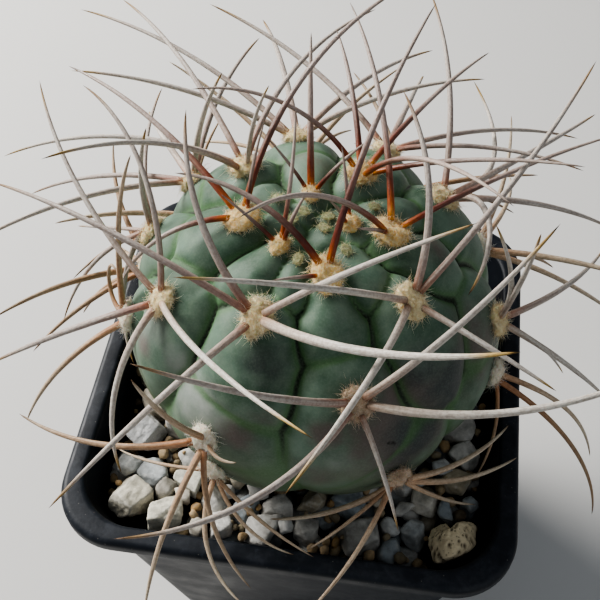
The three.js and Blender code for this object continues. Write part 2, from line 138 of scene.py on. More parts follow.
# The globe. Lengths are in metres, and tilts and lobes in degrees. The rest are shares.
GLOBE = {
    "centre": Vector((1 * MM, 1.5 * MM, 97 * MM)),
    "radius": 36.8 * MM,
    "height_share": 33 / 36.8,
    "crown_dip": 4.5 * MM,
    "crown_dip_angle": 17,
    "groove_depth": 3.8 * MM,
    "groove_round": 0.3,
    "crease_round": 0.08,
    "crease_halo": 0.2,
    "crease_power": 0.25,
    "lobe_span": 5.5 * MM,
    "lobe_lengths": (15, 26),
    "lobe_tilts": (20, 50),
    "lobe_rise": 2,
    "chin_share": 0.3,
    "chin_sideness": (0.25, 0.7),
    "calm_share": 0.5,
    "calm_tilts": (62, 105),
    "relief_end": (112, 140),
}

ROOT = {
    "top": 68 * MM,
    "top_radius": 10.5 * MM,
    "narrowing": ((0.95, 60 * MM), (0.6, 50 * MM), (0.25, 40 * MM)),  # share of the radius, height
    "flattening": 0.1,
}
ROOT_HOLE = {"low": 39.5 * MM, "low_radius": 3 * MM, "mouth": 13.6 * MM, "rise": 4 * MM, "sides": 40}

# The felt pad of an areole, right and up and out of the skin. Its lumps and grains are
# (width, depth) in mm.
WOOL = {
    "half_sizes": (2.8 * MM, 3.6 * MM, 1.5 * MM),
    "felt_share": 0.92,
    "seat": 0.5 * MM,
    "lumps": (1.6, 0.6),
    "grains": (0.5, 0.15),
    "fineness": 4,
    "felt_hair": 0.3,
    "felt_shade": 0.5,
}
YOUNGEST = {"tilt": 16, "size": 0.6}  # areoles nearer the crown than this tilt are smaller
WOOL_LEFT = {"young": 1, "mature": 1, "old": 0.6}
BROWNISH_WOOL = (16, 22)  # areoles whose wool is darker and browner
BUD_WOOL = {"size": 0.36, "hairs": 130, "reach": 2.2, "flatness": 0.16}
AREOLE_SEED = 100
BUD_SEED = 99

# The hairs in the felt. Loose ones stand out of it, and matted ones lie close to it.
HAIR = {
    "sides": 3,
    "steps": 3,
    "lengths": (0.4, 1.0),
    "root": 0.96,
    "spread": 0.9,
    "curl": 1.1,
    "wander": 0.6,
    "taper": 0.5,
    "loose_every": 2,
    "trailing_every": 15,
    "trailing": {"onward": 0.5, "stray": 0.6, "down": 0.3, "reach": 1.7},
    "loose": {"stand": 1.0, "reach": 1.15, "bend": 0.2, "thickness": 0.8},
    "matted": {"stand": 0.35, "reach": 1, "bend": 0.55, "thickness": 1.15},
}

SPINE = {
    "root_height": 1.41 * MM,
    "root_spread": 1.8 * MM,
    "short_length": 25,
    "short_share": 0.72,
    "age_share": {"young": 0.9, "mature": 1.0, "old": 1.0},
    "radius_spread": (0.9, 1.12),
    "taper": 0.42,
    "point_power": 4,
    "flatness": 0.9,
    "knob_height": 0.025,
    "knob_waves": (20, 34),  # radians along the spine
    # range of each spine's random tone, between painted shade and painted light
    "tones": (0.15, 0.85),
    "grain_length": 12,
}

# Areoles: (turn, tilt, age, spines). turn is measured from +X around +Z, tilt from the crown.
# A spine is (clock, lift, length in mm, sag, sweep): clock 0 points at the crown and 90 to the
# right when seen from outside, lift is the rise off the skin at the root, sag is how far the
# lift falls along the spine, and sweep is how far the clock turns along it.
SHOWN_AREOLES = (
    (-122, 14, "young", ((-15, 45, 22, 20, -20), (15, 62, 11, 20, 0), (-95, 48, 12, 20, 0))),
    (-5, 10, "young", ((-40, 66, 9, 15, 0), (60, 50, 12, 15, 0))),
    (103, 9, "young", ((-175, 60, 27, 22, 2), (120, 58, 11, 15, 0), (-90, 55, 13, 15, 0))),
    (-73, 21, "young", ((-30, 28, 30, 45, -40), (23, 31, 47, 27, 16), (-100, 35, 9, 10, 0))),
    (-169, 20, "young", (
        (-120, 34, 46, 28, -20), (-52, 38, 52, 46, 28), (-30, 62, 17, 15, 0),
        (175, 24, 25, 70, -10),
    )),
    (-8, 22, "young", (
        (62, 28, 45, 37, -3), (135, 35, 43, 26, 4), (-35, 46, 52, 21, -38), (-50, 38, 11, 10, 0),
    )),
    (57, 21, "young", (
        (-48, 47, 54, 36, -9), (-102, 38, 38, 22, 0), (125, 42, 30, 30, 0), (60, 48, 34, 62, -22),
        (180, 38, 38, 30, 0),
    )),
    (142, 30, "mature", (
        (-157, 42, 54, 27, -15), (-108, 30, 46, 38, 20), (150, 35, 48, 40, -15),
        (70, 50, 44, 35, 5), (0, 55, 24, 20, 0),
    )),
    (-108, 36, "mature", (
        (-76, 36, 54, 62, -18), (-55, 30, 35, 35, 35), (50, 36, 41, 25, 3), (92, 36, 47, 22, -30),
        (-158, 32, 43, 30, 0),
    )),
    (-36, 38, "mature", (
        (48, 24, 36, 46, -22), (75, 34, 50, 28, -3), (168, 30, 26, 20, -5), (-93, 41, 47, 34, -3),
        (-53, 31, 47, 25, 0),
    )),
    (30, 45, "mature", (
        (-168, 31, 40, 29, 0), (162, 37, 49, 19, -10), (97, 40, 44, 26, -7), (166, 20, 43, 10, -88),
        (-66, 56, 30, 130, -10),
    )),
    (105, 46, "mature", (
        (-92, 26, 38, 30, 0), (-125, 35, 42, 28, 0), (180, 47, 43, 20, -10), (121, 46, 57, 28, 0),
        (92, 34, 44, 26, 0),
    )),
    (67, 48, "mature", (
        (-98, 30, 36, 30, 0), (-140, 34, 46, 28, 0), (165, 40, 38, 28, 0), (104, 28, 50, 25, -24),
    )),
    (-149, 52, "mature", (
        (-85, 36, 47, 32, 11), (-20, 24, 42, 6, -88), (-163, 32, 38, 25, 3), (152, 24, 33, 62, -8),
        (65, 23, 52, 29, -4),
    )),
    (149, 56, "mature", (
        (-100, 34, 40, 28, 0), (-150, 38, 44, 28, 0), (160, 40, 44, 28, 0), (100, 36, 42, 28, 0),
        (-12, 36, 26, 25, 0),
    )),
    (-69, 58, "mature", (
        (-60, 35, 42, 22, 6), (45, 35, 44, 23, -3), (95, 43, 49, 38, -26), (168, 30, 21, 30, 8),
        (-119, 36, 44, 36, 40),
    )),
    (172, 62, "mature", (
        (-95, 32, 36, 30, 0), (-168, 36, 22, 12, 6), (174, 29, 31, 44, -29), (181, 2, 34, 53, -67),
        (0, 36, 26, 25, 0),
    )),
    (-6, 72, "mature", (
        (124, 33, 41, 26, -9), (-13, 26, 38, 10, -10), (172, 32, 40, 23, -7), (180, 51, 17, 39, 8),
        (-14, 28, 28, 37, 18),
    )),
    (-163, 77, "old", ((168, 52, 33, 40, 0), (-24, 10, 40, 14, 44), (-115, 30, 17, 50, 200))),
    (-114, 80, "old", (
        (3, 35, 40, 12, 0), (-117, 28, 40, 35, 17), (174, 62, 33, 46, 0), (158, 32, 28, 32, -34),
        (76, 42, 8, 58, -14),
    )),
    (-113, 99, "old", (
        (155, 76, 26, 70, -58), (120, 38, 21, 55, -8), (110, 16, 23, 20, 0), (-98, 23, 23, 29, -28),
    )),
    (-58, 96, "old", (
        (103, 10, 25, 34, -8), (136, 27, 23, 25, 0), (-112, 41, 28, 25, 0), (-114, 2, 25, 32, -6),
        (-110, 16, 21, 20, -26), (121, 17, 28, 27, -17),
    )),
    (-13, 91, "old", ((-173, 70, 45, 60, 0), (148, 64, 37, 46, 40), (-136, 24, 21, 40, 0))),
)

# Young tubercles near the crown, with wool but no spines: (turn, tilt, length).
BUDS = (
    (-97, 16, 8), (-47, 15, 11), (-170, 6, 5), (-39, 4, 2), (154, 12, 6), (18, 17, 8),
    (140, 4, 2), (23, 4, 2),
)

# Patches on the skin: (turn, tilt, spread in degrees, strength). The flushed ones are the skin's own
# purplish brown, the shaded ones are painted shade, and the pale ones are waxy bloom with a painted
# highlight.
SKIN_PATCHES = {
    # pale patches: partly waxy bloom and partly a painted highlight
    "bloom_and_highlight": ((-121, 70, 12, 1.0), (-129, 63, 9, 0.8), (-150, 60, 14, 0.5), (-76, 79, 6, 0.5)),
    "flushed": (
        (0, 38, 8, 0.9), (-54, 74, 18, 1.55), (-64, 65, 7, 0.8), (-99, 67, 8, 0.5),
        (-105, 73, 8, 0.9), (-20, 70, 18, 0.8), (-147, 70, 5, 0.8), (105, 24, 12, 0.5),
        (-78, 69, 6, 1.0), (-82, 87, 9, 0.7),
    ),
    # painted shade: dark grey patches under a chin and over the lower right side
    "shaded": (
        (-100, 49, 9, 0.7), (-70, 33, 4, 0.4), (-43, 58, 9, 0.8), (-95, 75, 7, 0.4),
        (-52, 80, 13, 1.1), (-36, 70, 13, 1.1),
    ),
}
# Heights between which the skin of the old lower half changes.
SKIN_HEIGHTS = {"aged": (112 * MM, 82 * MM), "corky": (80 * MM, 68 * MM)}
SCAR = ((-60.4, 76, 0.7, 1), (-59.4, 77, 0.8, 1), (-58.6, 78.2, 0.7, 0.9))  # a black corky mark

# Spines with a tone of their own: (areole, spine) to tone, from 0 (painted shade) to 1 (painted
# light); the tone also holds the spine's own paler or darker colour.
TONES = {
    (4, 2): 0.1, (4, 1): 0.0, (9, 1): 0.25, (9, 2): 0.3, (9, 4): 1.0, (9, 3): 0.6, (9, 5): 0.5,
    (10, 4): 0.7, (10, 3): 0.75, (14, 5): 0.95, (14, 1): 0.5, (16, 1): 0.35, (16, 3): 0.95,
    (16, 2): 0.6, (16, 5): 0.3,
}

# Spines that are thicker than the rest: (areole, spine) to share.
STOUTNESS = {(9, 4): 1.25, (16, 3): 1.15}

# Areoles round the back and under the shoulder: (turn, tilt, seed), with spines by rule.
RULED_AREOLES = ((30, 82, 3), (66, 86, 5), (104, 82, 9), (144, 88, 11), (168, 90, 15))
RULED_CLOCKS = (-85, -135, 175, 125, 75)
RULED_SPINE = {"lift": 52, "length": 31, "sag": 30, "vary": 6}

# Any stone: how it is shaped, and how it rests on the others, as shares of its size. Its lumps
# and grains are (width, depth).
STONE = {
    "side_spread": 0.35,
    "face_reach": (0.8, 1.0),
    "edge_from": 0.93,
    "edge_span": 0.07,
    "lean": 0.3,  # radians
    "lumps": (0.9, 0.09),
    "grains": (0.3, 0.035),
    "size_spread": (0.9, 1.1),
    "flat": 0.8,
    "touch": 0.9,
    "wall_touch": 0.85,
    "globe_touch": 0.25,
    "large_touch": 0.95,
}

# Layers of stones in the order in which they fall: (smallest, largest) radius, and how high
# each layer's stones may reach.
STONE_RADII = {
    "under": (1.9 * MM, 3.1 * MM),
    "coarse": (2.6 * MM, 4.2 * MM),
    "fine": (1.5 * MM, 2.6 * MM),
    "grit": (0.5 * MM, 1.3 * MM),
}
BED = {
    "low": SOIL_HIGH.z + 0.2 * MM,
    "middle": SOIL_HIGH.z + 4 * MM,
    "high": GRAVEL_HIGH.z + 0.6 * MM,
    "wall_gap": 0.4 * MM,
}
LAYER_TOPS = {
    "under": BED["low"] + 6 * MM,
    "coarse": BED["high"],
    "fine": BED["high"] - 0.6 * MM,
    "grit": BED["high"] - 1.5 * MM,
}
LAYER_TRIES = {"under": 9, "coarse": 9, "fine": 9, "grit": 3}
LAYER_FINENESS = {"coarse": 4, "under": 2, "fine": 3, "grit": 2}
GRAVEL_SHAPE = (1.12, 0.95, 0.82)
GRIT_SHAPE = (1.1, 1.0, 0.9)

# Larger loose stones: (node, centre, half sizes, yaw, seed, look), in mm.
LARGE_STONES = (
    ("white_stone_1", (-32.3, -32.6, 73), (4.7, 4.1, 3.8), 65, 72, "cream"),
    ("white_stone_2", (-24.5, -34.5, 73), (4, 3.6, 3.2), 15, 73, "cream"),
    ("white_stone_3", (-32.4, -17.3, 73.2), (4.5, 4, 3.4), 60, 74, "bluish"),
    ("white_stone_4", (-21, -26.7, 73), (3.2, 2.7, 2.5), -20, 75, "cream"),
)
LARGE_STONE_CUT = {"facets": 3, "hardness": 30}
LARGE_STONE_FINENESS = 5

# The pumice, in mm. Its notch and pores are measured on a ball of radius 1.
PUMICE = {
    "centre": (33, -32.3, 73.6),
    "half_sizes": (5, 4.5, 4.1),
    "yaw": 20,
    "seed": 71,
    "fineness": 6,
    "hardness": 6,
    "swelling": 1.06,
    "roughness": (2.0 * MM, 0.3 * MM),
}
NOTCH = {
    "top": (0.2, 0.92, 0.34),
    "top_from": 0.6,
    "top_span": 0.3,
    "across": (0.84, -0.55, 0),
    "offset": -0.34,
    "width": 0.2,
    "depth": 0.4,
}
PORES = {
    "count": 150,
    "along": (0.25, 0.9, 0.35),
    "widths": (0.03, 0.075),
    "lengths": (1.2, 3.0),
    "depth": 0.13,
}

# The floor, the lights and the camera, which stands above the plant and looks down on it.
FLOOR_HALF = 3
LIT_PLACE = (0, 0, 0.09)
LIGHTS = {
    "key": {"place": (-0.62, 0.3, 0.55), "size": 0.5, "tint": (1.0, 0.98, 0.95)},
    "fill": {"place": (0.55, -0.45, 0.5), "size": 0.8, "tint": (0.9, 0.95, 1.0)},
}
SKY_TINT = (0.86, 0.92, 1.0)
CAMERA = {
    "place": Vector((16.12, -104.81, 248.74)) * MM,
    "yaw": 9.57,
    "pitch": 53.80,
    "roll": -1.35,
    "lens": 55.46,
    "sensor": 36,
    "near": 0.01,
    "far": 20,
}


# ---------------------------------------------------------------- settings

def colour(code):
    """The linear colour of a hex code."""
    shares = [int(code[i:i + 2], 16) / 255 for i in (1, 3, 5)]
    return tuple(s / 12.92 if s < 0.04045 else ((s + 0.055) / 1.055) ** 2.4 for s in shares)


def colour_property(name, description, code):
    return bpy.props.FloatVectorProperty(
        name=name, description=description, default=colour(code),
        subtype="COLOR", size=3, min=0, max=1,
    )


def length_property(name, description, default):
    return bpy.props.FloatProperty(
        name=name, description=description, default=default, unit="LENGTH", min=0, precision=5,
    )


class CactusPotSettings(bpy.types.PropertyGroup):
    """The pot and the soil in it."""

    height: length_property("Height", "Height of the pot", POT["height"])
    rim_half: length_property("Rim half width", "Half the width over the rim", POT["rim_half"])
    wall: length_property("Wall", "Thickness of the pot's wall", POT["wall"])
    plastic: colour_property("Plastic", "Colour of the pot", "#15191f")
    soil: colour_property("Soil", "Colour of the soil", "#2a211b")


class CactusGlobeSettings(bpy.types.PropertyGroup):
    """The body of the plant."""

    radius: length_property("Radius", "Half the width of the globe", GLOBE["radius"])
    groove_depth: length_property(
        "Groove depth", "Depth of the grooves between tubercles", GLOBE["groove_depth"])
    fineness: bpy.props.IntProperty(
        name="Fineness", description="Subdivisions of the globe", default=7, min=3, max=7)
    bloom: colour_property("Bloom", "Waxy grey-green of the crests", "#68806f")
    flesh: colour_property("Flesh", "Green of the flanks", "#3c5743")
    # painted shade: near-black green laid along the middle of each crease
    groove: colour_property("Groove", "Green in the grooves", "#172410")
    flush: colour_property("Flush", "Purplish brown of the old lower skin", "#625852")


class CactusSpineSettings(bpy.types.PropertyGroup):
    """The spines and the wool that they stand in."""

    radius: length_property("Radius", "Radius of a long spine near its root", 0.68 * MM)
    sides: bpy.props.IntProperty(
        name="Sides", description="Sides of a spine", default=12, min=3, max=24)
    rings: bpy.props.IntProperty(
        name="Rings", description="Rings along a spine", default=26, min=4, max=60)
    hairs: bpy.props.IntProperty(
        name="Hairs", description="Wool hairs in a full-grown areole", default=1700, min=0, max=2500)
    hair_radius: length_property("Hair radius", "Radius of a wool hair", 0.034 * MM)
    hair_length: length_property("Hair length", "Length of a wool hair", 1.85 * MM)


class CactusGravelSettings(bpy.types.PropertyGroup):
    """The stones on the soil."""

    coarse: bpy.props.IntProperty(
        name="Coarse stones", description="Stones of 5 to 8 mm", default=125, min=0, max=400)
    under: bpy.props.IntProperty(
        name="Hidden stones", description="Stones under the coarse ones", default=230, min=0, max=800)
    fine: bpy.props.IntProperty(
        name="Fine stones", description="Stones of 3 to 5 mm", default=190, min=0, max=800)
    grit: bpy.props.IntProperty(
        name="Grit", description="Tan grains of 1 to 2.5 mm", default=900, min=0, max=2000)
    seed: bpy.props.IntProperty(name="Seed", description="Seed of the scatter", default=12)
    pale: colour_property("Pale stone", "Colour of the palest stones", "#dedbd3")
    dark: colour_property("Dark stone", "Colour of the darkest stones", "#595c60")
    tan: colour_property("Grit", "Colour of the grit", "#bda27a")
    cream: colour_property("Cream stone", "Colour of the larger cream stones", "#e8e2cf")
    bluish: colour_property("Bluish stone", "Colour of the larger bluish stone", "#dfe3ea")
    pumice: colour_property("Pumice", "Colour of the pumice", "#f0dfba")


class CactusStageSettings(bpy.types.PropertyGroup):
    """The floor, the lights and the camera."""

    floor: colour_property("Floor", "Colour of the floor", "#c9c8c5")
    key_power: bpy.props.FloatProperty(
        name="Key light", description="Power of the key light in watts", default=16, min=0)
    fill_power: bpy.props.FloatProperty(
        name="Fill light", description="Power of the fill light in watts", default=1.05, min=0)
    sky: bpy.props.FloatProperty(
        name="Sky", description="Strength of the surrounding light", default=0.22, min=0)


SETTINGS = {
    "cactus_pot": CactusPotSettings,
    "cactus_globe": CactusGlobeSettings,
    "cactus_spines": CactusSpineSettings,
    "cactus_gravel": CactusGravelSettings,
    "cactus_stage": CactusStageSettings,
}


# ---------------------------------------------------------------- mesh helpers

def finish_piece(name, mesh, material, slot, *nodes):
    """Links a mesh as a piece of the object that stands for these CAD nodes."""
    mesh.materials.clear()
    mesh.materials.append(material)
    mesh.shade_smooth()
    piece = bpy.data.objects.new(name, mesh)
    bpy.context.scene.collection.objects.link(piece)
    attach(piece, "root")
    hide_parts(*nodes)
    return piece


def mesh_from(bm, name):
    """The finished mesh of a bmesh, which is freed."""
    mesh = bpy.data.meshes.new(name)
    bm.to_mesh(mesh)
    bm.free()
    return mesh


def add_attribute(mesh, name, values):
    """Gives each vertex a number, or a vector where values has three columns."""
    values = np.asarray(values, np.float32)
    if values.ndim == 2:
        layer = mesh.attributes.new(name, "FLOAT_VECTOR", "POINT")
        layer.data.foreach_set("vector", values.ravel())
    else:
        layer = mesh.attributes.new(name, "FLOAT", "POINT")
        layer.data.foreach_set("value", values)


def template_of(bm):
    """The vertices and triangles of a small mesh that is copied many times."""
    bmesh.ops.recalc_face_normals(bm, faces=bm.faces)
    bmesh.ops.triangulate(bm, faces=bm.faces)
    bm.verts.index_update()
    verts = np.array([vert.co for vert in bm.verts])
    faces = np.array([[vert.index for vert in face.verts] for face in bm.faces])
    bm.free()
    return verts, faces


def copies_mesh(name, template, places):
    """One mesh of many copies of a template: places holds the vertices of each copy."""
    verts, faces = template
    count = len(places)
    shifted = faces[None] + (np.arange(count) * len(verts))[:, None, None]
    mesh = bpy.data.meshes.new(name)
    mesh.from_pydata(np.concatenate(places), [], shifted.reshape(-1, 3).tolist())
    return mesh


def parts_of(made, kind):
    """The vertices, edges or faces that an operator made."""
    return [part for part in made["geom"] if isinstance(part, kind)]


def tube_template(sides, rings):
    """A straight tube of radius 1 from z = 0 to a point at z = 1, extruded ring by ring."""
    bm = bmesh.new()
    made = bmesh.ops.create_circle(bm, cap_ends=True, segments=sides, radius=1)
    edges = list({edge for vert in made["verts"] for edge in vert.link_edges})
    for _ in range(rings):
        made = bmesh.ops.extrude_edge_only(bm, edges=edges)
        verts = parts_of(made, bmesh.types.BMVert)
        edges = parts_of(made, bmesh.types.BMEdge)
        bmesh.ops.translate(bm, verts=verts, vec=(0, 0, 1 / rings))
    bmesh.ops.pointmerge(bm, verts=verts, merge_co=(0, 0, 1))
    return template_of(bm)


def ball_template(subdivisions):
    """A ball of radius 1."""
    bm = bmesh.new()
    bmesh.ops.create_icosphere(bm, subdivisions=subdivisions, radius=1)
    return template_of(bm)


def rounded_square(bm, half, z, corner_steps):
    """A flat face, square with rounded corners. Returns it."""
    corners = [bm.verts.new((x * half, y * half, z)) for x, y in CORNERS]
    bm.faces.new(corners)
    bmesh.ops.bevel(
        bm, geom=corners, offset=half * POT["corner_ratio"], offset_type="OFFSET",
        affect="VERTICES", segments=corner_steps, profile=0.5, material=-1,
    )
    bm.faces.ensure_lookup_table()
    return bm.faces[0]


def carry_up(bm, edges, profile):
    """Extrudes a ring of edges through [half width, height] steps of a rounded square."""
    ring = {vert for edge in edges for vert in edge.verts}
    half = max(vert.co.x for vert in ring)
    for next_half, next_z in profile:
        made = bmesh.ops.extrude_edge_only(bm, edges=edges)
        verts = parts_of(made, bmesh.types.BMVert)
        edges = parts_of(made, bmesh.types.BMEdge)
        share = next_half / half
        bmesh.ops.scale(bm, verts=verts, vec=(share, share, 1))
        bmesh.ops.translate(bm, verts=verts, vec=(0, 0, next_z - verts[0].co.z))
        half = next_half
    return edges


def arc(centre, radius, start, end, steps):
    """Points on an arc in the profile plane, from one angle to another."""
    points = []
    for step in range(steps + 1):
        angle = math.radians(start + (end - start) * step / steps)
        points.append((centre[0] + radius * math.cos(angle), centre[1] + radius * math.sin(angle)))
    return points


def cut(mesh, cutters):
    """The mesh without what the cutters take away."""
    scene_objects = bpy.context.scene.collection.objects
    piece = bpy.data.objects.new("being_cut", mesh)
    tool = bpy.data.objects.new("cutter", cutters)
    scene_objects.link(piece)
    scene_objects.link(tool)
    boolean = piece.modifiers.new("cut", "BOOLEAN")
    boolean.operation = "DIFFERENCE"
    boolean.solver = "EXACT"
    boolean.object = tool
    evaluated = piece.evaluated_get(bpy.context.evaluated_depsgraph_get())
    done = bpy.data.meshes.new_from_object(evaluated)
    done.name = mesh.name
    bpy.data.objects.remove(piece)
    bpy.data.objects.remove(tool)
    return done


# ---------------------------------------------------------------- material helpers

def add_node(tree, kind, inputs=None, **properties):
    """Adds a node. An input is a value for its socket, or an output socket to link from."""
    node = tree.nodes.new(kind)
    for name, value in properties.items():
        setattr(node, name, value)
    for name, value in (inputs or {}).items():
        if isinstance(value, bpy.types.NodeSocket):
            tree.links.new(value, node.inputs[name])
        else:
            node.inputs[name].default_value = value
    return node


def opaque(rgb):
    """The colour with full cover."""
    return (*rgb, 1.0)


def mix_colours(tree, factor, first, second, blend="MIX"):
    """The colour between first and second at a factor."""
    node = tree.nodes.new("ShaderNodeMix")
    node.data_type = "RGBA"
    node.blend_type = blend
    for index, value in ((0, factor), (6, first), (7, second)):
        if isinstance(value, bpy.types.NodeSocket):
            tree.links.new(value, node.inputs[index])
        elif index == 0:
            node.inputs[index].default_value = value
        else:
            node.inputs[index].default_value = opaque(value)
    return node.outputs[2]


def tinted(tree, base, mask, share, other):
    """The base colour, with a share of another where the mask is 1."""
    return mix_colours(tree, maths(tree, "MULTIPLY", mask, share), base, other)


def scaled(rgb, share):
    """A darker or lighter colour."""
    return tuple(share * part for part in rgb)


def colour_ramp(tree, factor, stops):
    """The colour that stops of (place, colour) give at a factor."""
    node = add_node(tree, "ShaderNodeValToRGB", {"Fac": factor})
    elements = node.color_ramp.elements
    while len(elements) < len(stops):
        elements.new(0.5)
    for element, (place, rgb) in zip(elements, stops):
        element.position = place
        element.color = opaque(rgb)
    return node.outputs["Color"]


def maths(tree, operation, *values):
    """The result of an operation on numbers or output sockets."""
    node = add_node(tree, "ShaderNodeMath", operation=operation)
    for index, value in enumerate(values):
        if isinstance(value, bpy.types.NodeSocket):
            tree.links.new(value, node.inputs[index])
        else:
            node.inputs[index].default_value = value
    return node.outputs[0]


def remapped(tree, value, low, high):
    """A smooth step from 0 at low to 1 at high."""
    return add_node(
        tree, "ShaderNodeMapRange", {"Value": value, "From Min": low, "From Max": high},
        interpolation_type="SMOOTHSTEP",
    ).outputs["Result"]


def attribute(tree, name, output="Fac"):
    """A value that each point of the mesh carries."""
    return add_node(tree, "ShaderNodeAttribute", attribute_name=name).outputs[output]


def new_group(name, inputs, outputs):
    """An empty shader node group with named sockets: name to (type, default)."""
    group = bpy.data.node_groups.new(name, "ShaderNodeTree")
    kinds = {"float": "NodeSocketFloat", "vector": "NodeSocketVector", "colour": "NodeSocketColor"}
    for label, (kind, default) in inputs.items():
        socket = group.interface.new_socket(label, in_out="INPUT", socket_type=kinds[kind])
        if default is not None:
            socket.default_value = default
    for label, kind in outputs.items():
        group.interface.new_socket(label, in_out="OUTPUT", socket_type=kinds[kind])
    start = group.nodes.new("NodeGroupInput")
    end = group.nodes.new("NodeGroupOutput")
    return group, start.outputs, end.inputs


def place_group(tree, group, inputs):
    return add_node(tree, "ShaderNodeGroup", inputs, node_tree=group)


def mottle_group():
    """Soft patches: 0 to 1 where a noise passes from low to high."""
    group, given, out = new_group(
        "Mottle",
        {
            "Vector": ("vector", None), "Scale": ("float", 300.0), "Detail": ("float", 3.0),
            "Low": ("float", 0.35), "High": ("float", 0.65),
        },
        {"Mask": "float"},
    )
    grain = add_node(group, "ShaderNodeTexNoise", {
        "Vector": given["Vector"], "Scale": given["Scale"], "Detail": given["Detail"],
        "Roughness": 0.6,
    })
    mask = remapped(group, grain.outputs["Fac"], given["Low"], given["High"])
    group.links.new(mask, out["Mask"])
    return group


def speckle_group():
    """Small dots, each in its own cell: 1 in a dot and 0 between dots."""
    group, given, out = new_group(
        "Speckle",
        {"Vector": ("vector", None), "Scale": ("float", 900.0), "Size": ("float", 0.25)},
        {"Mask": "float"},
    )
    cells = add_node(group, "ShaderNodeTexVoronoi", {
        "Vector": given["Vector"], "Scale": given["Scale"],
    })
    edge = maths(group, "MULTIPLY", given["Size"], 0.5)
    inside = remapped(group, cells.outputs["Distance"], given["Size"], edge)
    group.links.new(inside, out["Mask"])
    return group


def relief_group():
    """A bumpy normal from two sizes of noise."""
    group, given, out = new_group(
        "Fine relief",
        {
            "Vector": ("vector", None), "Coarse": ("float", 400.0), "Fine": ("float", 1800.0),
            "Depth": ("float", 0.1 * MM),
        },
        {"Normal": "vector"},
    )
    coarse = add_node(group, "ShaderNodeTexNoise", {
        "Vector": given["Vector"], "Scale": given["Coarse"], "Detail": 3.0,
    })
    fine = add_node(group, "ShaderNodeTexNoise", {
        "Vector": given["Vector"], "Scale": given["Fine"], "Detail": 2.0,
    })
    both = maths(group, "MULTIPLY_ADD", fine.outputs["Fac"], 0.35, coarse.outputs["Fac"])
    bump = add_node(group, "ShaderNodeBump", {
        "Height": both, "Distance": given["Depth"], "Strength": 1.0,
    })
    group.links.new(bump.outputs["Normal"], out["Normal"])
    return group


def dust_group():
    """Dust that lies on faces that look up, in patches."""
    group, given, out = new_group(
        "Settled dust",
        {"Vector": ("vector", None), "Scale": ("float", 180.0), "Amount": ("float", 0.4)},
        {"Mask": "float"},
    )
    geometry = add_node(group, "ShaderNodeNewGeometry")
    axes = add_node(group, "ShaderNodeSeparateXYZ", {"Vector": geometry.outputs["Normal"]})
    upward = remapped(group, axes.outputs["Z"], 0.2, 1.0)
    patches = add_node(group, "ShaderNodeTexNoise", {
        "Vector": given["Vector"], "Scale": given["Scale"], "Detail": 6.0, "Roughness": 0.7,
    })
    patchy = remapped(group, patches.outputs["Fac"], 0.4, 0.75)
    lying = maths(group, "MULTIPLY", upward, patchy)
    group.links.new(maths(group, "MULTIPLY", lying, given["Amount"]), out["Mask"])
    return group


EFFECTS = {
    "mottle": mottle_group, "speckle": speckle_group, "relief": relief_group, "dust": dust_group,
}
made_effects = {}


def effect(name):
    """The shared node group of that name, built the first time that it is asked for."""
    if name not in made_effects:
        made_effects[name] = EFFECTS[name]()
    return made_effects[name]


def new_material(name, **values):
    """A material with a principled shader. values are its uniform numbers."""
    material = bpy.data.materials.new(name)
    material.use_nodes = True
    tree = material.node_tree
    tree.nodes.clear()
    shader = tree.nodes.new("ShaderNodeBsdfPrincipled")
    output = tree.nodes.new("ShaderNodeOutputMaterial")
    tree.links.new(shader.outputs["BSDF"], output.inputs["Surface"])
    for label, value in values.items():
        shader.inputs[label.replace("_", " ")].default_value = value
    places = add_node(tree, "ShaderNodeTexCoord").outputs["Object"]
    return material, tree, shader, places


def link_inputs(tree, shader, **sources):
    """Links what changes over the surface to the shader's inputs of those names."""
    for label, source in sources.items():
        tree.links.new(source, shader.inputs[label.replace("_", " ")])


def mottle(tree, places, scale, low=0.35, high=0.65, detail=3.0):
    return place_group(tree, effect("mottle"), {
        "Vector": places, "Scale": scale, "Detail": detail, "Low": low, "High": high,
    }).outputs["Mask"]


def speckle(tree, places, scale, size):
    return place_group(tree, effect("speckle"), {
        "Vector": places, "Scale": scale, "Size": size,
    }).outputs["Mask"]


def relief_normal(tree, places, coarse, fine, depth):
    return place_group(tree, effect("relief"), {
        "Vector": places, "Coarse": coarse, "Fine": fine, "Depth": depth,
    }).outputs["Normal"]


def dust(tree, places, scale, amount):
    return place_group(tree, effect("dust"), {
        "Vector": places, "Scale": scale, "Amount": amount,
    }).outputs["Mask"]


# ---------------------------------------------------------------- pot and soil

def outer_half(z):
    """Half the width of the pot's tapered outer wall at a height."""
    share = z / (POT["height"] - POT["lip_drop"])
    return POT["base_half"] + (POT["shoulder_half"] - POT["base_half"]) * share


def inner_half(z, wall=POT["wall"]):
    """Half the width of the pot's inner wall at a height."""
    return outer_half(z) - wall


def pot_plastic(plastic):
    """Dark plastic with traces of lime, settled dust and pale specks."""
    material, tree, shader, places = new_material(
        "pot_plastic", IOR=1.5, Specular_IOR_Level=0.24)
    patches = mottle(tree, places, scale=90, low=0.3, high=0.7)
    base = mix_colours(tree, patches, plastic, scaled(plastic, 1.35))
    lime = mottle(tree, places, scale=420, low=0.60, high=0.72, detail=8.0)
    base = tinted(tree, base, lime, 0.07, colour("#7d8796"))
    dusty = dust(tree, places, scale=260, amount=0.13)
    base = mix_colours(tree, dusty, base, colour("#6d717a"))
    specks = speckle(tree, places, scale=700, size=0.1)
    base = tinted(tree, base, specks, 0.25, colour("#a8a49a"))
    rough = maths(tree, "MULTIPLY_ADD", patches, 0.16, 0.36)
    rough = maths(tree, "MULTIPLY_ADD", dusty, 0.4, rough)
    normal = relief_normal(tree, places, coarse=350, fine=2600, depth=0.045 * MM)
    link_inputs(tree, shader, Base_Color=base, Roughness=rough, Normal=normal)
    return material


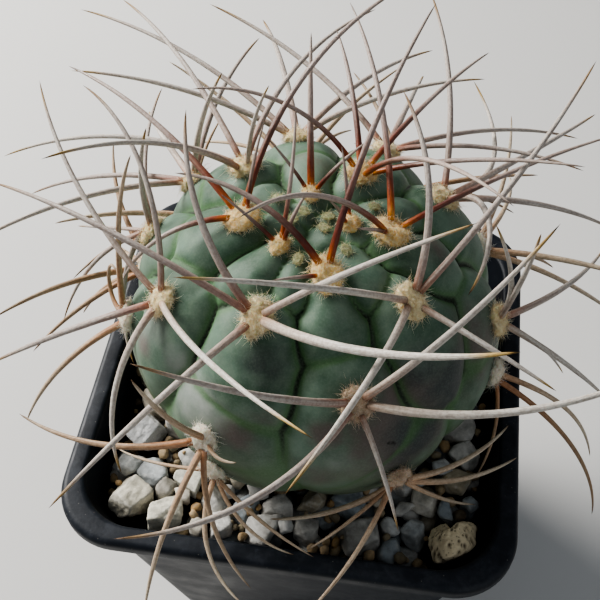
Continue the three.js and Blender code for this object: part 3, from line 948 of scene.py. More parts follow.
def outer_profile(under_rim):
    """Up the outside: the rounded foot, the wall with its small step, and out under the rim."""
    foot, step_z = POT["foot_round"], under_rim - POT["step_drop"]
    points = arc((POT["base_half"] - foot, foot), foot, -90, 0, 4)[1:]
    points += [(outer_half(z), z) for z in OUTER_RINGS]
    points.append((outer_half(step_z) - POT["step_depth"], step_z))
    points.append((outer_half(step_z), step_z + POT["step_height"]))
    for z in (step_z + POT["above_step"], under_rim - POT["below_rim"]):
        points.append((outer_half(z), z))
    out, down = POT["rim_fillet"]
    points.append((outer_half(under_rim), under_rim - down))
    points.append((outer_half(under_rim) + out, under_rim))
    return points


def lip_profile(height, rim):
    """Over the lip: out along its underside, round its edge, over its top and down inside."""
    under_rim, inside = height - POT["lip_drop"], rim - POT["lip_width"]
    under, outer, inner = (POT[f"lip_{part}_round"] for part in ("under", "outer", "inner"))
    flat, sag = POT["lip_flat"]
    lean, rise = POT["lip_lean"]
    points = [(rim - under - POT["lip_edge"], under_rim)]
    points += arc((rim - under, under_rim + under), under, -70, 0, 3)
    points += arc((rim - outer, height - outer), outer, 0, 90, 8)
    points.append((inside + inner + flat, height - sag))
    points += arc((inside + inner, height - inner), inner, 90, 180, 6)
    points.append((inside - lean, under_rim + rise))
    return points


def inner_profile(under_rim, wall):
    """Down the inside, to the edge of the floor."""
    points = [(inner_half(z, wall), z) for z in (under_rim - POT["below_lip"], *INNER_RINGS)]
    floor, foot = POT["floor"], POT["floor_round"]
    half = inner_half(floor, wall)
    return points + [(half, floor + foot), (half - foot, floor)]


def drain_holes():
    """Upright cylinders where the drain holes are."""
    holes = bmesh.new()
    for x, y in CORNERS:
        place = Matrix.Translation((x * POT["drain_offset"], y * POT["drain_offset"], 0))
        bmesh.ops.create_cone(
            holes, cap_ends=True, segments=POT["drain_sides"], radius1=POT["drain_radius"],
            radius2=POT["drain_radius"], depth=4 * POT["floor"], matrix=place)
    return mesh_from(holes, "drain_holes")


def make_pot(settings):
    """One moulded pot: the wall is carried up over a rounded lip and down the inside."""
    under_rim = settings.height - POT["lip_drop"]
    profile = outer_profile(under_rim) + lip_profile(settings.height, settings.rim_half)
    profile += inner_profile(under_rim, settings.wall)
    bm = bmesh.new()
    base = rounded_square(bm, POT["base_half"] - POT["foot_round"], 0, POT["corner_steps"])
    ring = carry_up(bm, list(base.edges), profile)
    bmesh.ops.contextual_create(bm, geom=ring)
    bmesh.ops.recalc_face_normals(bm, faces=bm.faces)
    mesh = cut(mesh_from(bm, "plant_pot"), drain_holes())
    piece = finish_piece("plant_pot", mesh, pot_plastic(settings.plastic), "pot_plastic", "pot")
    piece.data.set_sharp_from_angle(angle=math.radians(POT["sharp_angle"]))


def soil_material(soil):
    """Dark crumbly soil."""
    material, tree, shader, places = new_material("damp_soil", Roughness=0.92, IOR=1.4)
    patches = mottle(tree, places, scale=500, low=0.35, high=0.65, detail=6.0)
    base = mix_colours(tree, patches, scaled(soil, 0.5), soil)
    crumbs = speckle(tree, places, scale=600, size=0.3)
    base = tinted(tree, base, crumbs, 0.5, colour("#54402f"))
    normal = relief_normal(tree, places, coarse=500, fine=1500, depth=0.9 * MM)
    link_inputs(tree, shader, Base_Color=base, Normal=normal)
    return material


def lumpy_top(bm, half, top):
    """A grid drawn out to the pot's rounded square, with lumps that fade towards its wall."""
    cells, power = SOIL["cells"], SOIL["corner_power"]
    grid = bmesh.ops.create_grid(bm, x_segments=cells, y_segments=cells, size=1)["verts"]
    for vert in grid:
        x, y = vert.co.x, vert.co.y
        reach = max(abs(x), abs(y))
        curved = (abs(x) ** power + abs(y) ** power) ** (1 / power)
        share = half * (reach / curved if curved > 0 else 1)
        place = Vector((x * SOIL["lump_density"], y * SOIL["lump_density"], 0.5))
        lump = SOIL["lump_height"] * noise.fractal(place, *SOIL_NOISE)
        fade = 1 - reach ** SOIL["fade_power"]
        vert.co = (x * share, y * share, top + fade * (lump - SOIL["hollow"]))


def root_hole(top):
    """A cone where the root goes into the soil."""
    hole = bmesh.new()
    low, high = ROOT_HOLE["low"], top + ROOT_HOLE["rise"]
    place = Matrix.Translation((GLOBE["centre"].x, GLOBE["centre"].y, (low + high) / 2))
    bmesh.ops.create_cone(
        hole, cap_ends=True, segments=ROOT_HOLE["sides"], radius1=ROOT_HOLE["low_radius"],
        radius2=ROOT_HOLE["mouth"], depth=high - low, matrix=place)
    return mesh_from(hole, "root_hole")


def make_soil(settings):
    """The soil fills the pot, with a lumpy top and a hole for the root."""
    top = SOIL_HIGH.z - SOIL["drop"]
    half = inner_half(top, settings.wall) - SOIL["gap"]
    bm = bmesh.new()
    lumpy_top(bm, half, top)
    rim = [edge for edge in bm.edges if edge.is_boundary]
    made = bmesh.ops.extrude_edge_only(bm, edges=rim)
    verts = parts_of(made, bmesh.types.BMVert)
    share = (inner_half(POT["floor"], settings.wall) - SOIL["floor_gap"]) / half
    bmesh.ops.scale(bm, verts=verts, vec=(share, share, 1))
    for vert in verts:
        vert.co.z = SOIL_LOW.z
    bmesh.ops.contextual_create(bm, geom=parts_of(made, bmesh.types.BMEdge))
    bmesh.ops.recalc_face_normals(bm, faces=bm.faces)
    mesh = cut(mesh_from(bm, "potting_mix"), root_hole(top))
    finish_piece("potting_mix", mesh, soil_material(settings.soil), "potting_soil", "soil")


# ---------------------------------------------------------------- stones

def stone_material(name, pale, dark, chalk=0.3):
    """Stone whose shade is each stone's own, paler on its worn edges."""
    material, tree, shader, places = new_material(name, Roughness=0.78, IOR=1.5)
    middle = tuple((a + b) / 2 for a, b in zip(pale, dark))
    cool = tuple(share * tint for share, tint in zip(middle, (0.82, 0.95, 1.08)))
    warm = tuple(share * tint for share, tint in zip(middle, (1.12, 0.98, 0.72)))
    base = colour_ramp(tree, attribute(tree, "shade"), [
        (0.0, dark), (0.22, cool), (0.3, pale), (0.52, middle), (0.66, warm), (0.78, pale),
        (0.9, cool), (1.0, pale),
    ])
    darker = mix_colours(tree, 1.0, base, colour("#a3a3a2"), "MULTIPLY")
    patches = mottle(tree, places, scale=330, low=0.35, high=0.68, detail=5.0)
    base = tinted(tree, base, patches, 0.75, darker)
    veins = mottle(tree, places, scale=900, low=0.45, high=0.62, detail=4.0)
    base = tinted(tree, base, veins, 0.18, colour("#6d675d"))
    base = tinted(tree, base, attribute(tree, "edge"), chalk, colour("#efece4"))
    normal = relief_normal(tree, places, coarse=700, fine=2600, depth=0.22 * MM)
    link_inputs(tree, shader, Base_Color=base, Normal=normal)
    return material


def random_way(draw):
    """A unit vector in any direction."""
    z = draw.uniform(-1, 1)
    turn = draw.uniform(0, 2 * math.pi)
    out = math.sqrt(1 - z * z)
    return np.array((out * math.cos(turn), out * math.sin(turn), z))


def facetted(verts, draw, facets=7, hardness=18):
    """Pushes a ball out to a rounded polyhedron. Also gives how near an edge each point is."""
    sides = [np.eye(3)[i] * sign for i in range(3) for sign in (1, -1)]
    planes = [side + STONE["side_spread"] * random_way(draw) for side in sides]
    planes += [random_way(draw) for _ in range(facets)]
    planes = np.array([plane / np.linalg.norm(plane) for plane in planes])
    reach = np.array([draw.uniform(*STONE["face_reach"]) for _ in planes])
    pull = np.clip(verts @ planes.T, 0, None) / reach
    radius = (pull ** hardness).sum(axis=1) ** (-1 / hardness)
    ranked = np.sort(pull, axis=1)
    edge = (ranked[:, -2] / ranked[:, -1] - STONE["edge_from"]) / STONE["edge_span"]
    return verts * radius[:, None], np.clip(edge, 0, 1)


def roughened(points, seed, size, depth):
    """Moves points in and out from their middle by a noise of a given size."""
    middle = points.mean(axis=0)
    out = points - middle
    length = np.linalg.norm(out, axis=1)
    shift = Vector((seed, 0, 0))
    lumps = np.array([noise.fractal(Vector(point) / size + shift, *STONE_NOISE) for point in points])
    return points + out / length[:, None] * (depth * lumps)[:, None]


def one_stone(template, centre, half_sizes, yaw, draw, seed, **shaping):
    """The vertices of one stone and its edge values."""
    verts, edge = facetted(template[0], draw, **shaping)
    verts = verts / np.abs(verts).max(axis=0)
    lean = draw.uniform(-STONE["lean"], STONE["lean"])
    turned = Matrix.Rotation(math.radians(yaw), 3, "Z") @ Matrix.Rotation(lean, 3, "X")
    points = (verts * np.array(half_sizes)) @ np.array(turned).T + np.array(centre)
    for offset, (size, depth) in ((0, STONE["lumps"]), (9, STONE["grains"])):
        points = roughened(points, seed + offset, size * min(half_sizes), depth * min(half_sizes))
    return points, edge


def plant_clearance(x, y, z, radius):
    """How far a stone is outside the globe: below 0 it is inside."""
    half_width, _, half_height = globe_half_sizes()
    across = math.hypot(x - GLOBE["centre"].x, y - GLOBE["centre"].y)
    up = (z - GLOBE["centre"].z) / (half_height + radius)
    if abs(up) >= 1:
        return radius
    return across - (half_width + radius) * math.sqrt(1 - up * up)


def settle(draw, radius, placed, tries):
    """The lowest of some random places where a round stone comes to rest on the others."""
    half = inner_half(BED["middle"]) - BED["wall_gap"]
    corner = half * POT["corner_ratio"]
    wall_room = STONE["wall_touch"] * radius
    best = None
    for _ in range(tries):
        room = half - wall_room
        x, y = draw.uniform(-room, room), draw.uniform(-room, room)
        over_x, over_y = abs(x) - (half - corner), abs(y) - (half - corner)
        if over_x > 0 and over_y > 0 and math.hypot(over_x, over_y) > corner - wall_room:
            continue
        z = BED["low"] + STONE["flat"] * radius
        for other_x, other_y, other_z, other_radius in placed:
            touch = STONE["touch"] * (radius + other_radius)
            apart = (x - other_x) ** 2 + (y - other_y) ** 2
            if apart < touch * touch:
                z = max(z, other_z + STONE["flat"] * math.sqrt(touch * touch - apart))
        if plant_clearance(x, y, z, radius) < -STONE["globe_touch"] * radius:
            continue
        if best is None or z < best[2]:
            best = (x, y, z, radius)
    return best


def scatter(draw, count, layer, placed):
    """Drops a layer's stones one after another and keeps those that lie low enough."""
    resting = []
    for _ in range(count):
        radius = draw.uniform(*STONE_RADII[layer])
        place = settle(draw, radius, placed, LAYER_TRIES[layer])
        if place and place[2] + STONE["flat"] * radius < LAYER_TOPS[layer]:
            placed.append(place)
            resting.append(place)
    return resting


def stones_mesh(name, template, resting, draw, shape=GRAVEL_SHAPE):
    """One mesh of stones at their resting places, each of its own shape and shade."""
    places, edges, shades = [], [], []
    for index, (*centre, radius) in enumerate(resting):
        half_sizes = [radius * share * draw.uniform(*STONE["size_spread"]) for share in shape]
        points, edge = one_stone(template, centre, half_sizes, draw.uniform(0, 360), draw, index)
        places.append(points)
        edges.append(edge)
        shades.append(np.full(len(points), draw.random()))
    mesh = copies_mesh(name, template, places)
    add_attribute(mesh, "edge", np.concatenate(edges))
    add_attribute(mesh, "shade", np.concatenate(shades))
    return mesh


def make_gravel(settings):
    """Angular stones that rest on each other, with fine stones and grit between them."""
    draw = random.Random(settings.seed)
    placed = [
        (*(MM * value for value in centre), STONE["large_touch"] * MM * half_sizes[1])
        for _, centre, half_sizes, *_ in LARGE_STONES
    ]
    placed.append((*(MM * value for value in PUMICE["centre"]), MM * PUMICE["half_sizes"][1]))
    resting = {
        layer: scatter(draw, getattr(settings, layer), layer, placed) for layer in STONE_RADII
    }
    limestone = stone_material("limestone", settings.pale, settings.dark)
    for layer in ("coarse", "under", "fine"):
        name = f"gravel_{layer}"
        mesh = stones_mesh(name, ball_template(LAYER_FINENESS[layer]), resting[layer], draw)
        finish_piece(name, mesh, limestone, "limestone_gravel", "gravel")
    tan = stone_material("tan_grit", settings.tan, scaled(settings.tan, 0.4), chalk=0.1)
    ball = ball_template(LAYER_FINENESS["grit"])
    mesh = stones_mesh("grit", ball, resting["grit"], draw, GRIT_SHAPE)
    finish_piece("grit", mesh, tan, "pumice", "gravel")


def make_large_stones(settings):
    """The larger loose stones that lie on top."""
    materials = {
        "cream": stone_material("white_stone", settings.cream, colour("#c9bfa8"), chalk=0.35),
        "bluish": stone_material("bluish_stone", settings.bluish, colour("#c3c8d2"), chalk=0.35),
    }
    template = ball_template(LARGE_STONE_FINENESS)
    for node, centre, half_sizes, yaw, seed, look in LARGE_STONES:
        draw = random.Random(seed)
        sized = [MM * value for value in half_sizes]
        middle = [MM * value for value in centre]
        points, edge = one_stone(template, middle, sized, yaw, draw, seed, **LARGE_STONE_CUT)
        mesh = copies_mesh(f"loose_{node}", template, [points])
        add_attribute(mesh, "edge", edge)
        add_attribute(mesh, "shade", np.full(len(points), draw.random()))
        finish_piece(f"loose_{node}", mesh, materials[look], "white_stone", node)


def pumice_material(tan):
    """Pale rough pumice, with painted shade in its pores and pinholes."""
    material, tree, shader, places = new_material("porous_pumice", Roughness=0.9, IOR=1.45)
    patches = mottle(tree, places, scale=260, low=0.3, high=0.7, detail=5.0)
    base = mix_colours(tree, patches, scaled(tan, 0.82), tan)
    # painted shade: near-black brown in the sunken pores
    base = tinted(tree, base, attribute(tree, "pore"), 0.9, colour("#2c2117"))
    # painted shade: small dark dots for pinholes
    pinhole_shade = speckle(tree, places, scale=1300, size=0.3)
    base = tinted(tree, base, pinhole_shade, 0.5, colour("#5a4630"))
    normal = relief_normal(tree, places, coarse=900, fine=2600, depth=0.35 * MM)
    link_inputs(tree, shader, Base_Color=base, Normal=normal)
    return material


def notched(verts, ways):
    """The pumice's points with a groove pressed in over its top."""
    across = (ways @ np.array(NOTCH["across"]) - NOTCH["offset"]) / NOTCH["width"]
    near_top = ((ways @ np.array(NOTCH["top"]) - NOTCH["top_from"]) / NOTCH["top_span"]).clip(0, 1)
    return verts * (1 - NOTCH["depth"] * near_top * np.exp(-(across ** 2)))[:, None]


def pores_on(ways, draw):
    """How deep each direction lies in one of the long pores, which all run the same way."""
    grain = np.array(PORES["along"])
    grain = grain / np.linalg.norm(grain)
    pore = np.zeros(len(ways))
    for _ in range(PORES["count"]):
        offset = ways - random_way(draw)
        along = offset @ grain
        across = np.linalg.norm(offset - along[:, None] * grain, axis=1)
        width = draw.uniform(*PORES["widths"])
        length = width * draw.uniform(*PORES["lengths"])
        pore = np.maximum(pore, np.exp(-((across / width) ** 2) - (along / length) ** 2))
    return pore


def make_pumice(settings):
    """A large porous stone with a notch in its top."""
    draw = random.Random(PUMICE["seed"])
    template = ball_template(PUMICE["fineness"])
    ways = template[0]
    verts = notched(facetted(ways, draw, hardness=PUMICE["hardness"])[0], ways)
    verts = PUMICE["swelling"] * verts / np.abs(verts).max(axis=0)
    pore = pores_on(ways, draw)
    verts = verts * (1 - PORES["depth"] * pore)[:, None]
    turned = np.array(Matrix.Rotation(math.radians(PUMICE["yaw"]), 3, "Z"))
    points = (verts * (MM * np.array(PUMICE["half_sizes"]))) @ turned.T
    points = roughened(points + MM * np.array(PUMICE["centre"]), 3, *PUMICE["roughness"])
    mesh = copies_mesh("loose_pumice", template, [points])
    add_attribute(mesh, "pore", pore)
    finish_piece("loose_pumice", mesh, pumice_material(settings.pumice), "pumice", "pumice_stone")


# ---------------------------------------------------------------- globe

def globe_half_sizes():
    """Half the globe's width, depth and height, from its settings."""
    radius = bpy.context.scene.cactus_globe.radius
    return np.array((radius, radius, radius * GLOBE["height_share"]))


def way_to(turn, tilt):
    """The unit direction that a turn and a tilt from the crown give."""
    t, a = math.radians(tilt), math.radians(turn)
    return np.array((math.sin(t) * math.cos(a), math.sin(t) * math.sin(a), math.cos(t)))


def smooth_step(values, low, high):
    """0 up to low, 1 from high, and smooth between them."""
    share = np.clip((values - low) / (high - low), 0, 1)
    return share * share * (3 - 2 * share)


def tilts_of(ways):
    """The tilt of each direction from the crown, in degrees."""
    return np.degrees(np.arccos(np.clip(ways[:, 2], -1, 1)))


def lobe_length(tilt):
    """How far down the plant a tubercle runs from its areole, in degrees."""
    short, long = GLOBE["lobe_lengths"]
    return short + (long - short) * float(smooth_step(tilt, *GLOBE["lobe_tilts"]))


LOBES = [
    (turn, tilt - GLOBE["lobe_rise"], lobe_length(tilt))
    for turn, tilt, *_ in SHOWN_AREOLES + RULED_AREOLES
]
LOBES += BUDS


def lobe_reach(ways, lobe):
    """How far each direction is from a tubercle's ridge, over a globe of the usual radius."""
    turn, tilt, length = lobe
    top, ridge = way_to(turn, tilt), way_to(turn, tilt + length) - way_to(turn, tilt)
    share = np.clip((ways - top) @ ridge / (ridge @ ridge), 0, 1)
    return GLOBE["radius"] * np.linalg.norm(ways - top - share[:, None] * ridge, axis=1)


def groove_share(first, second):
    """How deep the groove between two tubercles is: shallow if one lies below the other."""
    (turn_1, tilt_1, length_1), (turn_2, tilt_2, length_2) = first, second
    middle_1, middle_2 = tilt_1 + length_1 / 2, tilt_2 + length_2 / 2
    turn = (turn_1 - turn_2 + 180) % 360 - 180
    across = abs(turn) * math.sin(math.radians((middle_1 + middle_2) / 2))
    side = smooth_step(across / math.hypot(across, middle_1 - middle_2), *GLOBE["chin_sideness"])
    grown = smooth_step(max(tilt_1, tilt_2), *GLOBE["lobe_tilts"])
    return 1 - (1 - GLOBE["chin_share"]) * float(grown) * (1 - float(side))


def crease_line(clear):
    """1 in the middle of a crease, and less with the share of clear skin beside it."""
    core = np.exp(-((clear / GLOBE["crease_round"]) ** 2))
    return 0.5 * (core + np.exp(-clear / GLOBE["crease_halo"]))


def tubercle_relief(ways):
    """Height of the skin over the smooth globe, and how far each point is into a groove."""
    reaches = [lobe_reach(ways, lobe) for lobe in LOBES]
    nearest = np.min(reaches, axis=0)
    grooved, creased = np.zeros(len(ways)), np.zeros(len(ways))
    for second, lobe in enumerate(LOBES):
        for first in range(second):
            farther = np.maximum(reaches[first], reaches[second])
            depth = groove_share(LOBES[first], lobe) * np.minimum(1, farther / GLOBE["lobe_span"])
            clear = (farther - nearest) / (farther + nearest)
            grooved = np.maximum(grooved, depth * np.exp(-clear / GLOBE["groove_round"]))
            creased = np.maximum(creased, depth ** GLOBE["crease_power"] * crease_line(clear))
    tilts = tilts_of(ways)
    calm = 1 - (1 - GLOBE["calm_share"]) * smooth_step(tilts, *GLOBE["calm_tilts"])
    fade = calm * (1 - smooth_step(tilts, *GLOBE["relief_end"]))
    return -bpy.context.scene.cactus_globe.groove_depth * fade * grooved, fade * creased


def outward(ways):
    """The directions out of the smooth globe where these directions meet it."""
    out = ways / globe_half_sizes()
    return out / np.linalg.norm(out, axis=1)[:, None]


def skin(ways):
    """Points on the skin in these directions, and how far each is into a groove."""
    relief, groove = tubercle_relief(ways)
    dip = GLOBE["crown_dip"] * np.exp(-((tilts_of(ways) / GLOBE["crown_dip_angle"]) ** 2))
    smooth = ways * globe_half_sizes() - dip[:, None] * np.array((0, 0, 1))
    return smooth + np.array(GLOBE["centre"]) + outward(ways) * relief[:, None], groove


def patches_on(ways, patches):
    """How strongly each direction lies in one of these soft round patches."""
    strongest = np.zeros(len(ways))
    for turn, tilt, spread, strength in patches:
        away = np.degrees(np.arccos(np.clip(ways @ way_to(turn, tilt), -1, 1)))
        strongest = np.maximum(strongest, strength * np.exp(-((away / spread) ** 2)))
    return strongest


def patch_on(tree, base, name, uneven, full, rgb):
    """The base colour, with another where the attribute's uneven patches pass towards full."""
    patch = maths(tree, "MULTIPLY", attribute(tree, name), uneven)
    return mix_colours(tree, remapped(tree, patch, 0.1, full), base, rgb)


def skin_material(settings):
    """Waxy grey-green skin, greener in the grooves, with purplish brown patches, painted shade in dark
    patches and along the middle of the creases, and pale patches of waxy bloom with a painted
    highlight.
    """
    material, tree, shader, places = new_material(
        "cactus_skin", IOR=1.42, Subsurface_Weight=0.12, Subsurface_Scale=1.5 * MM,
        Subsurface_Radius=(0.6, 1.0, 0.4), Specular_IOR_Level=0.35)
    broad = mottle(tree, places, scale=90, low=0.3, high=0.7)
    base = mix_colours(tree, broad, settings.flesh, settings.bloom)
    middling = mottle(tree, places, scale=260, low=0.35, high=0.7, detail=4.0)
    base = tinted(tree, base, middling, 0.28, colour("#8e9c8a"))
    dark = mottle(tree, places, scale=150, low=0.5, high=0.7, detail=5.0)
    base = tinted(tree, base, dark, 0.3, colour("#3c4c3e"))

    height = add_node(tree, "ShaderNodeSeparateXYZ", {"Vector": places}).outputs["Z"]
    yellowed = mottle(tree, places, scale=60, low=0.38, high=0.62)
    patchy = maths(tree, "MULTIPLY_ADD", yellowed, 0.5, 0.3)
    base = tinted(tree, base, remapped(tree, height, *SKIN_HEIGHTS["aged"]), patchy, colour("#6f7059"))
    clouds = mottle(tree, places, scale=120, low=0.3, high=0.7, detail=5.0)
    uneven = maths(tree, "MULTIPLY_ADD", clouds, 0.6, 0.55)
    base = patch_on(tree, base, "flushed", uneven, 0.85, settings.flush)
    # painted shade: dark grey patches on the skin
    base = patch_on(tree, base, "shaded", uneven, 0.9, colour("#3b403e"))
    # pale patches: partly waxy bloom, partly painted highlight
    base = patch_on(tree, base, "bloom_and_highlight", uneven, 0.95, colour("#999e98"))

    groove = attribute(tree, "groove")
    base = tinted(tree, base, remapped(tree, groove, 0.12, 0.6), 0.65, colour("#4b7040"))
    # painted shade along the middle of the creases
    base = mix_colours(tree, remapped(tree, groove, 0.62, 0.95), base, settings.groove)
    corky = remapped(tree, height, *SKIN_HEIGHTS["corky"])
    base = tinted(tree, base, corky, 0.7, colour("#6f5f49"))
    pores = mottle(tree, places, scale=2600, low=0.4, high=0.7, detail=2.0)
    base = tinted(tree, base, pores, 0.08, colour("#a3ad9e"))
    scar = remapped(tree, attribute(tree, "scar"), 0.2, 0.8)
    base = mix_colours(tree, scar, base, colour("#1b1813"))

    rough = maths(tree, "MULTIPLY_ADD", middling, 0.12, 0.5)
    normal = relief_normal(tree, places, coarse=500, fine=2400, depth=0.05 * MM)
    link_inputs(tree, shader, Base_Color=base, Roughness=rough, Normal=normal)
    return material


def draw_out_root(bm):
    """Extrudes the faces under the globe down to a narrow tip, in steps."""
    centre = GLOBE["centre"]
    under = [
        face for face in bm.faces
        if face.calc_center_median().z < ROOT["top"]
        and (face.calc_center_median().xy - centre.xy).length < ROOT["top_radius"]
    ]
    for share, z in ROOT["narrowing"]:
        made = bmesh.ops.extrude_face_region(bm, geom=under)
        bmesh.ops.delete(bm, geom=under, context="FACES_ONLY")
        under = parts_of(made, bmesh.types.BMFace)
        verts = parts_of(made, bmesh.types.BMVert)
        widest = max((vert.co.xy - centre.xy).length for vert in verts)
        factor = share * ROOT["top_radius"] / widest
        bmesh.ops.scale(
            bm, verts=verts, vec=(factor, factor, ROOT["flattening"]),
            space=Matrix.Translation((-centre.x, -centre.y, 0)))
        lift = z - sum(vert.co.z for vert in verts) / len(verts)
        bmesh.ops.translate(bm, verts=verts, vec=(0, 0, lift))


def mark_skin(mesh):
    """Gives the skin its patches of colour, painted shade and painted highlight, and its scar, as
    attributes.
    """
    ways = np.array([vert.co for vert in mesh.vertices]) - np.array(GLOBE["centre"])
    ways = ways / globe_half_sizes()
    ways = ways / np.linalg.norm(ways, axis=1)[:, None]
    for name, patches in {**SKIN_PATCHES, "scar": SCAR}.items():
        add_attribute(mesh, name, patches_on(ways, patches))


def make_globe(settings):
    """A fine ball drawn out to the tubercles, with its tap root drawn down from underneath."""
    bm = bmesh.new()
    groove_layer = bm.verts.layers.float.new("groove")
    verts = bmesh.ops.create_icosphere(bm, subdivisions=settings.fineness, radius=1)["verts"]
    ways = np.array([vert.co for vert in verts])
    ways = ways / np.linalg.norm(ways, axis=1)[:, None]
    for vert, point, depth in zip(verts, *skin(ways)):
        vert.co = point
        vert[groove_layer] = depth
    draw_out_root(bm)
    bmesh.ops.recalc_face_normals(bm, faces=bm.faces)
    mesh = mesh_from(bm, "cactus_globe")
    mark_skin(mesh)
    finish_piece("cactus_globe", mesh, skin_material(settings), "cactus_skin", "cactus_body")


# ---------------------------------------------------------------- areoles

def areole_axes(turn, tilt):
    """The seat of an areole and its axes: out of the skin, towards the crown and to the right."""
    way = way_to(turn, tilt)
    out = outward(way[None])[0]
    t, a = math.radians(tilt), math.radians(turn)
    rising = np.array((-math.cos(t) * math.cos(a), -math.cos(t) * math.sin(a), math.sin(t)))
    crown = rising * globe_half_sizes()
    crown = crown - crown.dot(out) * out
    crown = crown / np.linalg.norm(crown)
    return {
        "seat": skin(way[None])[0][0], "out": out, "crown": crown, "right": np.cross(crown, out),
        "size": YOUNGEST["size"] if tilt < YOUNGEST["tilt"] else 1,
        "flatness": 1,
        "reach": 1,
    }


def spine_axis(axes, spine, steps):
    """Points along a spine and its direction at each, from the root."""
    clock, lift, length, sag, sweep = spine

    def heading(share):
        a = math.radians(clock + sweep * share)
        rise = math.radians(lift - sag * share)
        flat = math.cos(a) * axes["crown"] + math.sin(a) * axes["right"]
        return math.cos(rise) * flat + math.sin(rise) * axes["out"]

    start = heading(0)
    flat = start - start.dot(axes["out"]) * axes["out"]
    flat = flat / np.linalg.norm(flat)
    point = axes["seat"] + SPINE["root_height"] * axes["out"]
    point = point + SPINE["root_spread"] * axes["size"] * flat
    points, ways = [point], [start]
    for step in range(steps):
        point = point + heading((step + 0.5) / steps) * length * MM / steps
        points.append(point)
        ways.append(heading((step + 1) / steps))
    return np.array(points), np.array(ways)


def around(template):
    """The angle of each of a tube's points round its middle line."""
    return np.arctan2(template[:, 1], template[:, 0])


def spine_places(axes, spine, template, radius, rings, draw):
    """The vertices of one spine: the template tube bent along the spine's axis."""
    points, ways = spine_axis(axes, spine, rings)
    share = template[:, 2]
    index = np.rint(share * rings).astype(int)
    thick = radius * (SPINE["short_share"] if spine[2] < SPINE["short_length"] else 1)
    point_fade = np.sqrt(np.clip(1 - share ** SPINE["point_power"], 0, 1))
    full = (1 - SPINE["taper"] * share) * point_fade
    side = np.cross(axes["out"], ways)
    side = side / np.linalg.norm(side, axis=1)[:, None]
    over = np.cross(side, ways)
    waves = np.sin(share * draw.uniform(*SPINE["knob_waves"]) + draw.uniform(0, 6))
    knobs = 1 + SPINE["knob_height"] * waves
    reach = np.hypot(template[:, 0], template[:, 1]) * thick * full * knobs
    aside = (reach * np.cos(around(template)))[:, None]
    above = (SPINE["flatness"] * reach * np.sin(around(template)))[:, None]
    return points[index] + side[index] * aside + over[index] * above


def spine_material(name, in_shade, lit, roughness):
    """Horn that changes along the spine: two ramps give its colours in painted shade and in painted
    light, and each spine's tone mixes them.
    """
    material, tree, shader, _ = new_material(
        name, IOR=1.5, Subsurface_Weight=0.08, Subsurface_Scale=0.6 * MM,
        Subsurface_Radius=(1.0, 0.7, 0.5), Specular_IOR_Level=0.45)
    grain = attribute(tree, "grain", "Vector")
    patches = mottle(tree, grain, scale=0.9, low=0.35, high=0.65)
    swing = maths(tree, "SUBTRACT", patches, 0.5)
    along = maths(tree, "MULTIPLY_ADD", swing, 0.05, attribute(tree, "along"))
    # patches along the spine shift its tone between painted shade and painted light
    tone = maths(tree, "MULTIPLY_ADD", swing, 0.3, attribute(tree, "tone"))
    tone = remapped(tree, tone, 0.0, 1.0)
    # the horn's colours in painted shade and in painted light, mixed by the tone
    base = mix_colours(tree, tone, colour_ramp(tree, along, in_shade), colour_ramp(tree, along, lit))
    streaked = mix_colours(tree, 1.0, base, colour("#a88f84"), "MULTIPLY")
    streaks = mottle(tree, grain, scale=2.6, low=0.42, high=0.66, detail=2.0)
    base = tinted(tree, base, streaks, 0.3, streaked)
    crosswise = add_node(tree, "ShaderNodeMapping", {"Vector": grain, "Scale": (0.8, 0.8, 12)})
    scales = mottle(tree, crosswise.outputs["Vector"], scale=1.5, low=0.42, high=0.62)
    base = tinted(tree, base, scales, 0.35, streaked)
    rough = maths(tree, "MULTIPLY_ADD", streaks, 0.15, roughness)
    bump = add_node(tree, "ShaderNodeBump", {
        "Height": maths(tree, "ADD", streaks, scales), "Distance": 0.03 * MM, "Strength": 0.6,
    })
    normal = bump.outputs["Normal"]
    link_inputs(tree, shader, Base_Color=base, Roughness=rough, Normal=normal)
    return material


# Each age's horn colours along the spine, in painted shade and in painted light.
SPINE_LOOKS = {
    "young": {
        "in_shade": (
            (0.0, "#c98a35"), (0.03, "#a85418"), (0.09, "#6a2813"), (0.2, "#55291f"),
            (0.33, "#7a5a4f"), (0.5, "#a08f86"), (0.88, "#a89a8f"), (1.0, "#3a2a22"),
        ),
        "lit": (
            (0.0, "#d79c44"), (0.05, "#b5601f"), (0.12, "#8a4329"), (0.24, "#957060"),
            (0.42, "#b3a49b"), (0.9, "#b8aba0"), (1.0, "#4a382c"),
        ),
        "roughness": 0.38,
    },
    "mature": {
        "in_shade": (
            (0.0, "#a2694f"), (0.06, "#9a7365"), (0.16, "#9d897f"), (0.4, "#a79b93"),
            (0.75, "#aea49b"), (0.92, "#93775f"), (1.0, "#3f2b1e"),
        ),
        "lit": (
            (0.0, "#c0a58e"), (0.08, "#c4b7a8"), (0.4, "#d0ccc2"), (0.84, "#cec9be"),
            (0.92, "#b89c58"), (0.97, "#8a6f38"), (1.0, "#231a12"),
        ),
        "roughness": 0.55,
    },
    "old": {
        "in_shade": (
            (0.0, "#a87048"), (0.2, "#a0754f"), (0.5, "#9b7c5c"), (0.85, "#a78c70"), (1.0, "#4a3322"),
        ),
        "lit": (
            (0.0, "#c8a684"), (0.25, "#c6b298"), (0.6, "#cdbfa8"), (0.9, "#d2c8b2"), (1.0, "#8a6c4a"),
        ),
        "roughness": 0.55,
    },
}


def spine_materials():
    """A horn material for each age."""
    made = {}
    for age, look in SPINE_LOOKS.items():
        ramps = [[(place, colour(code)) for place, code in look[key]] for key in ("in_shade", "lit")]
        made[age] = spine_material(f"{age}_spines", *ramps, look["roughness"])
    return made


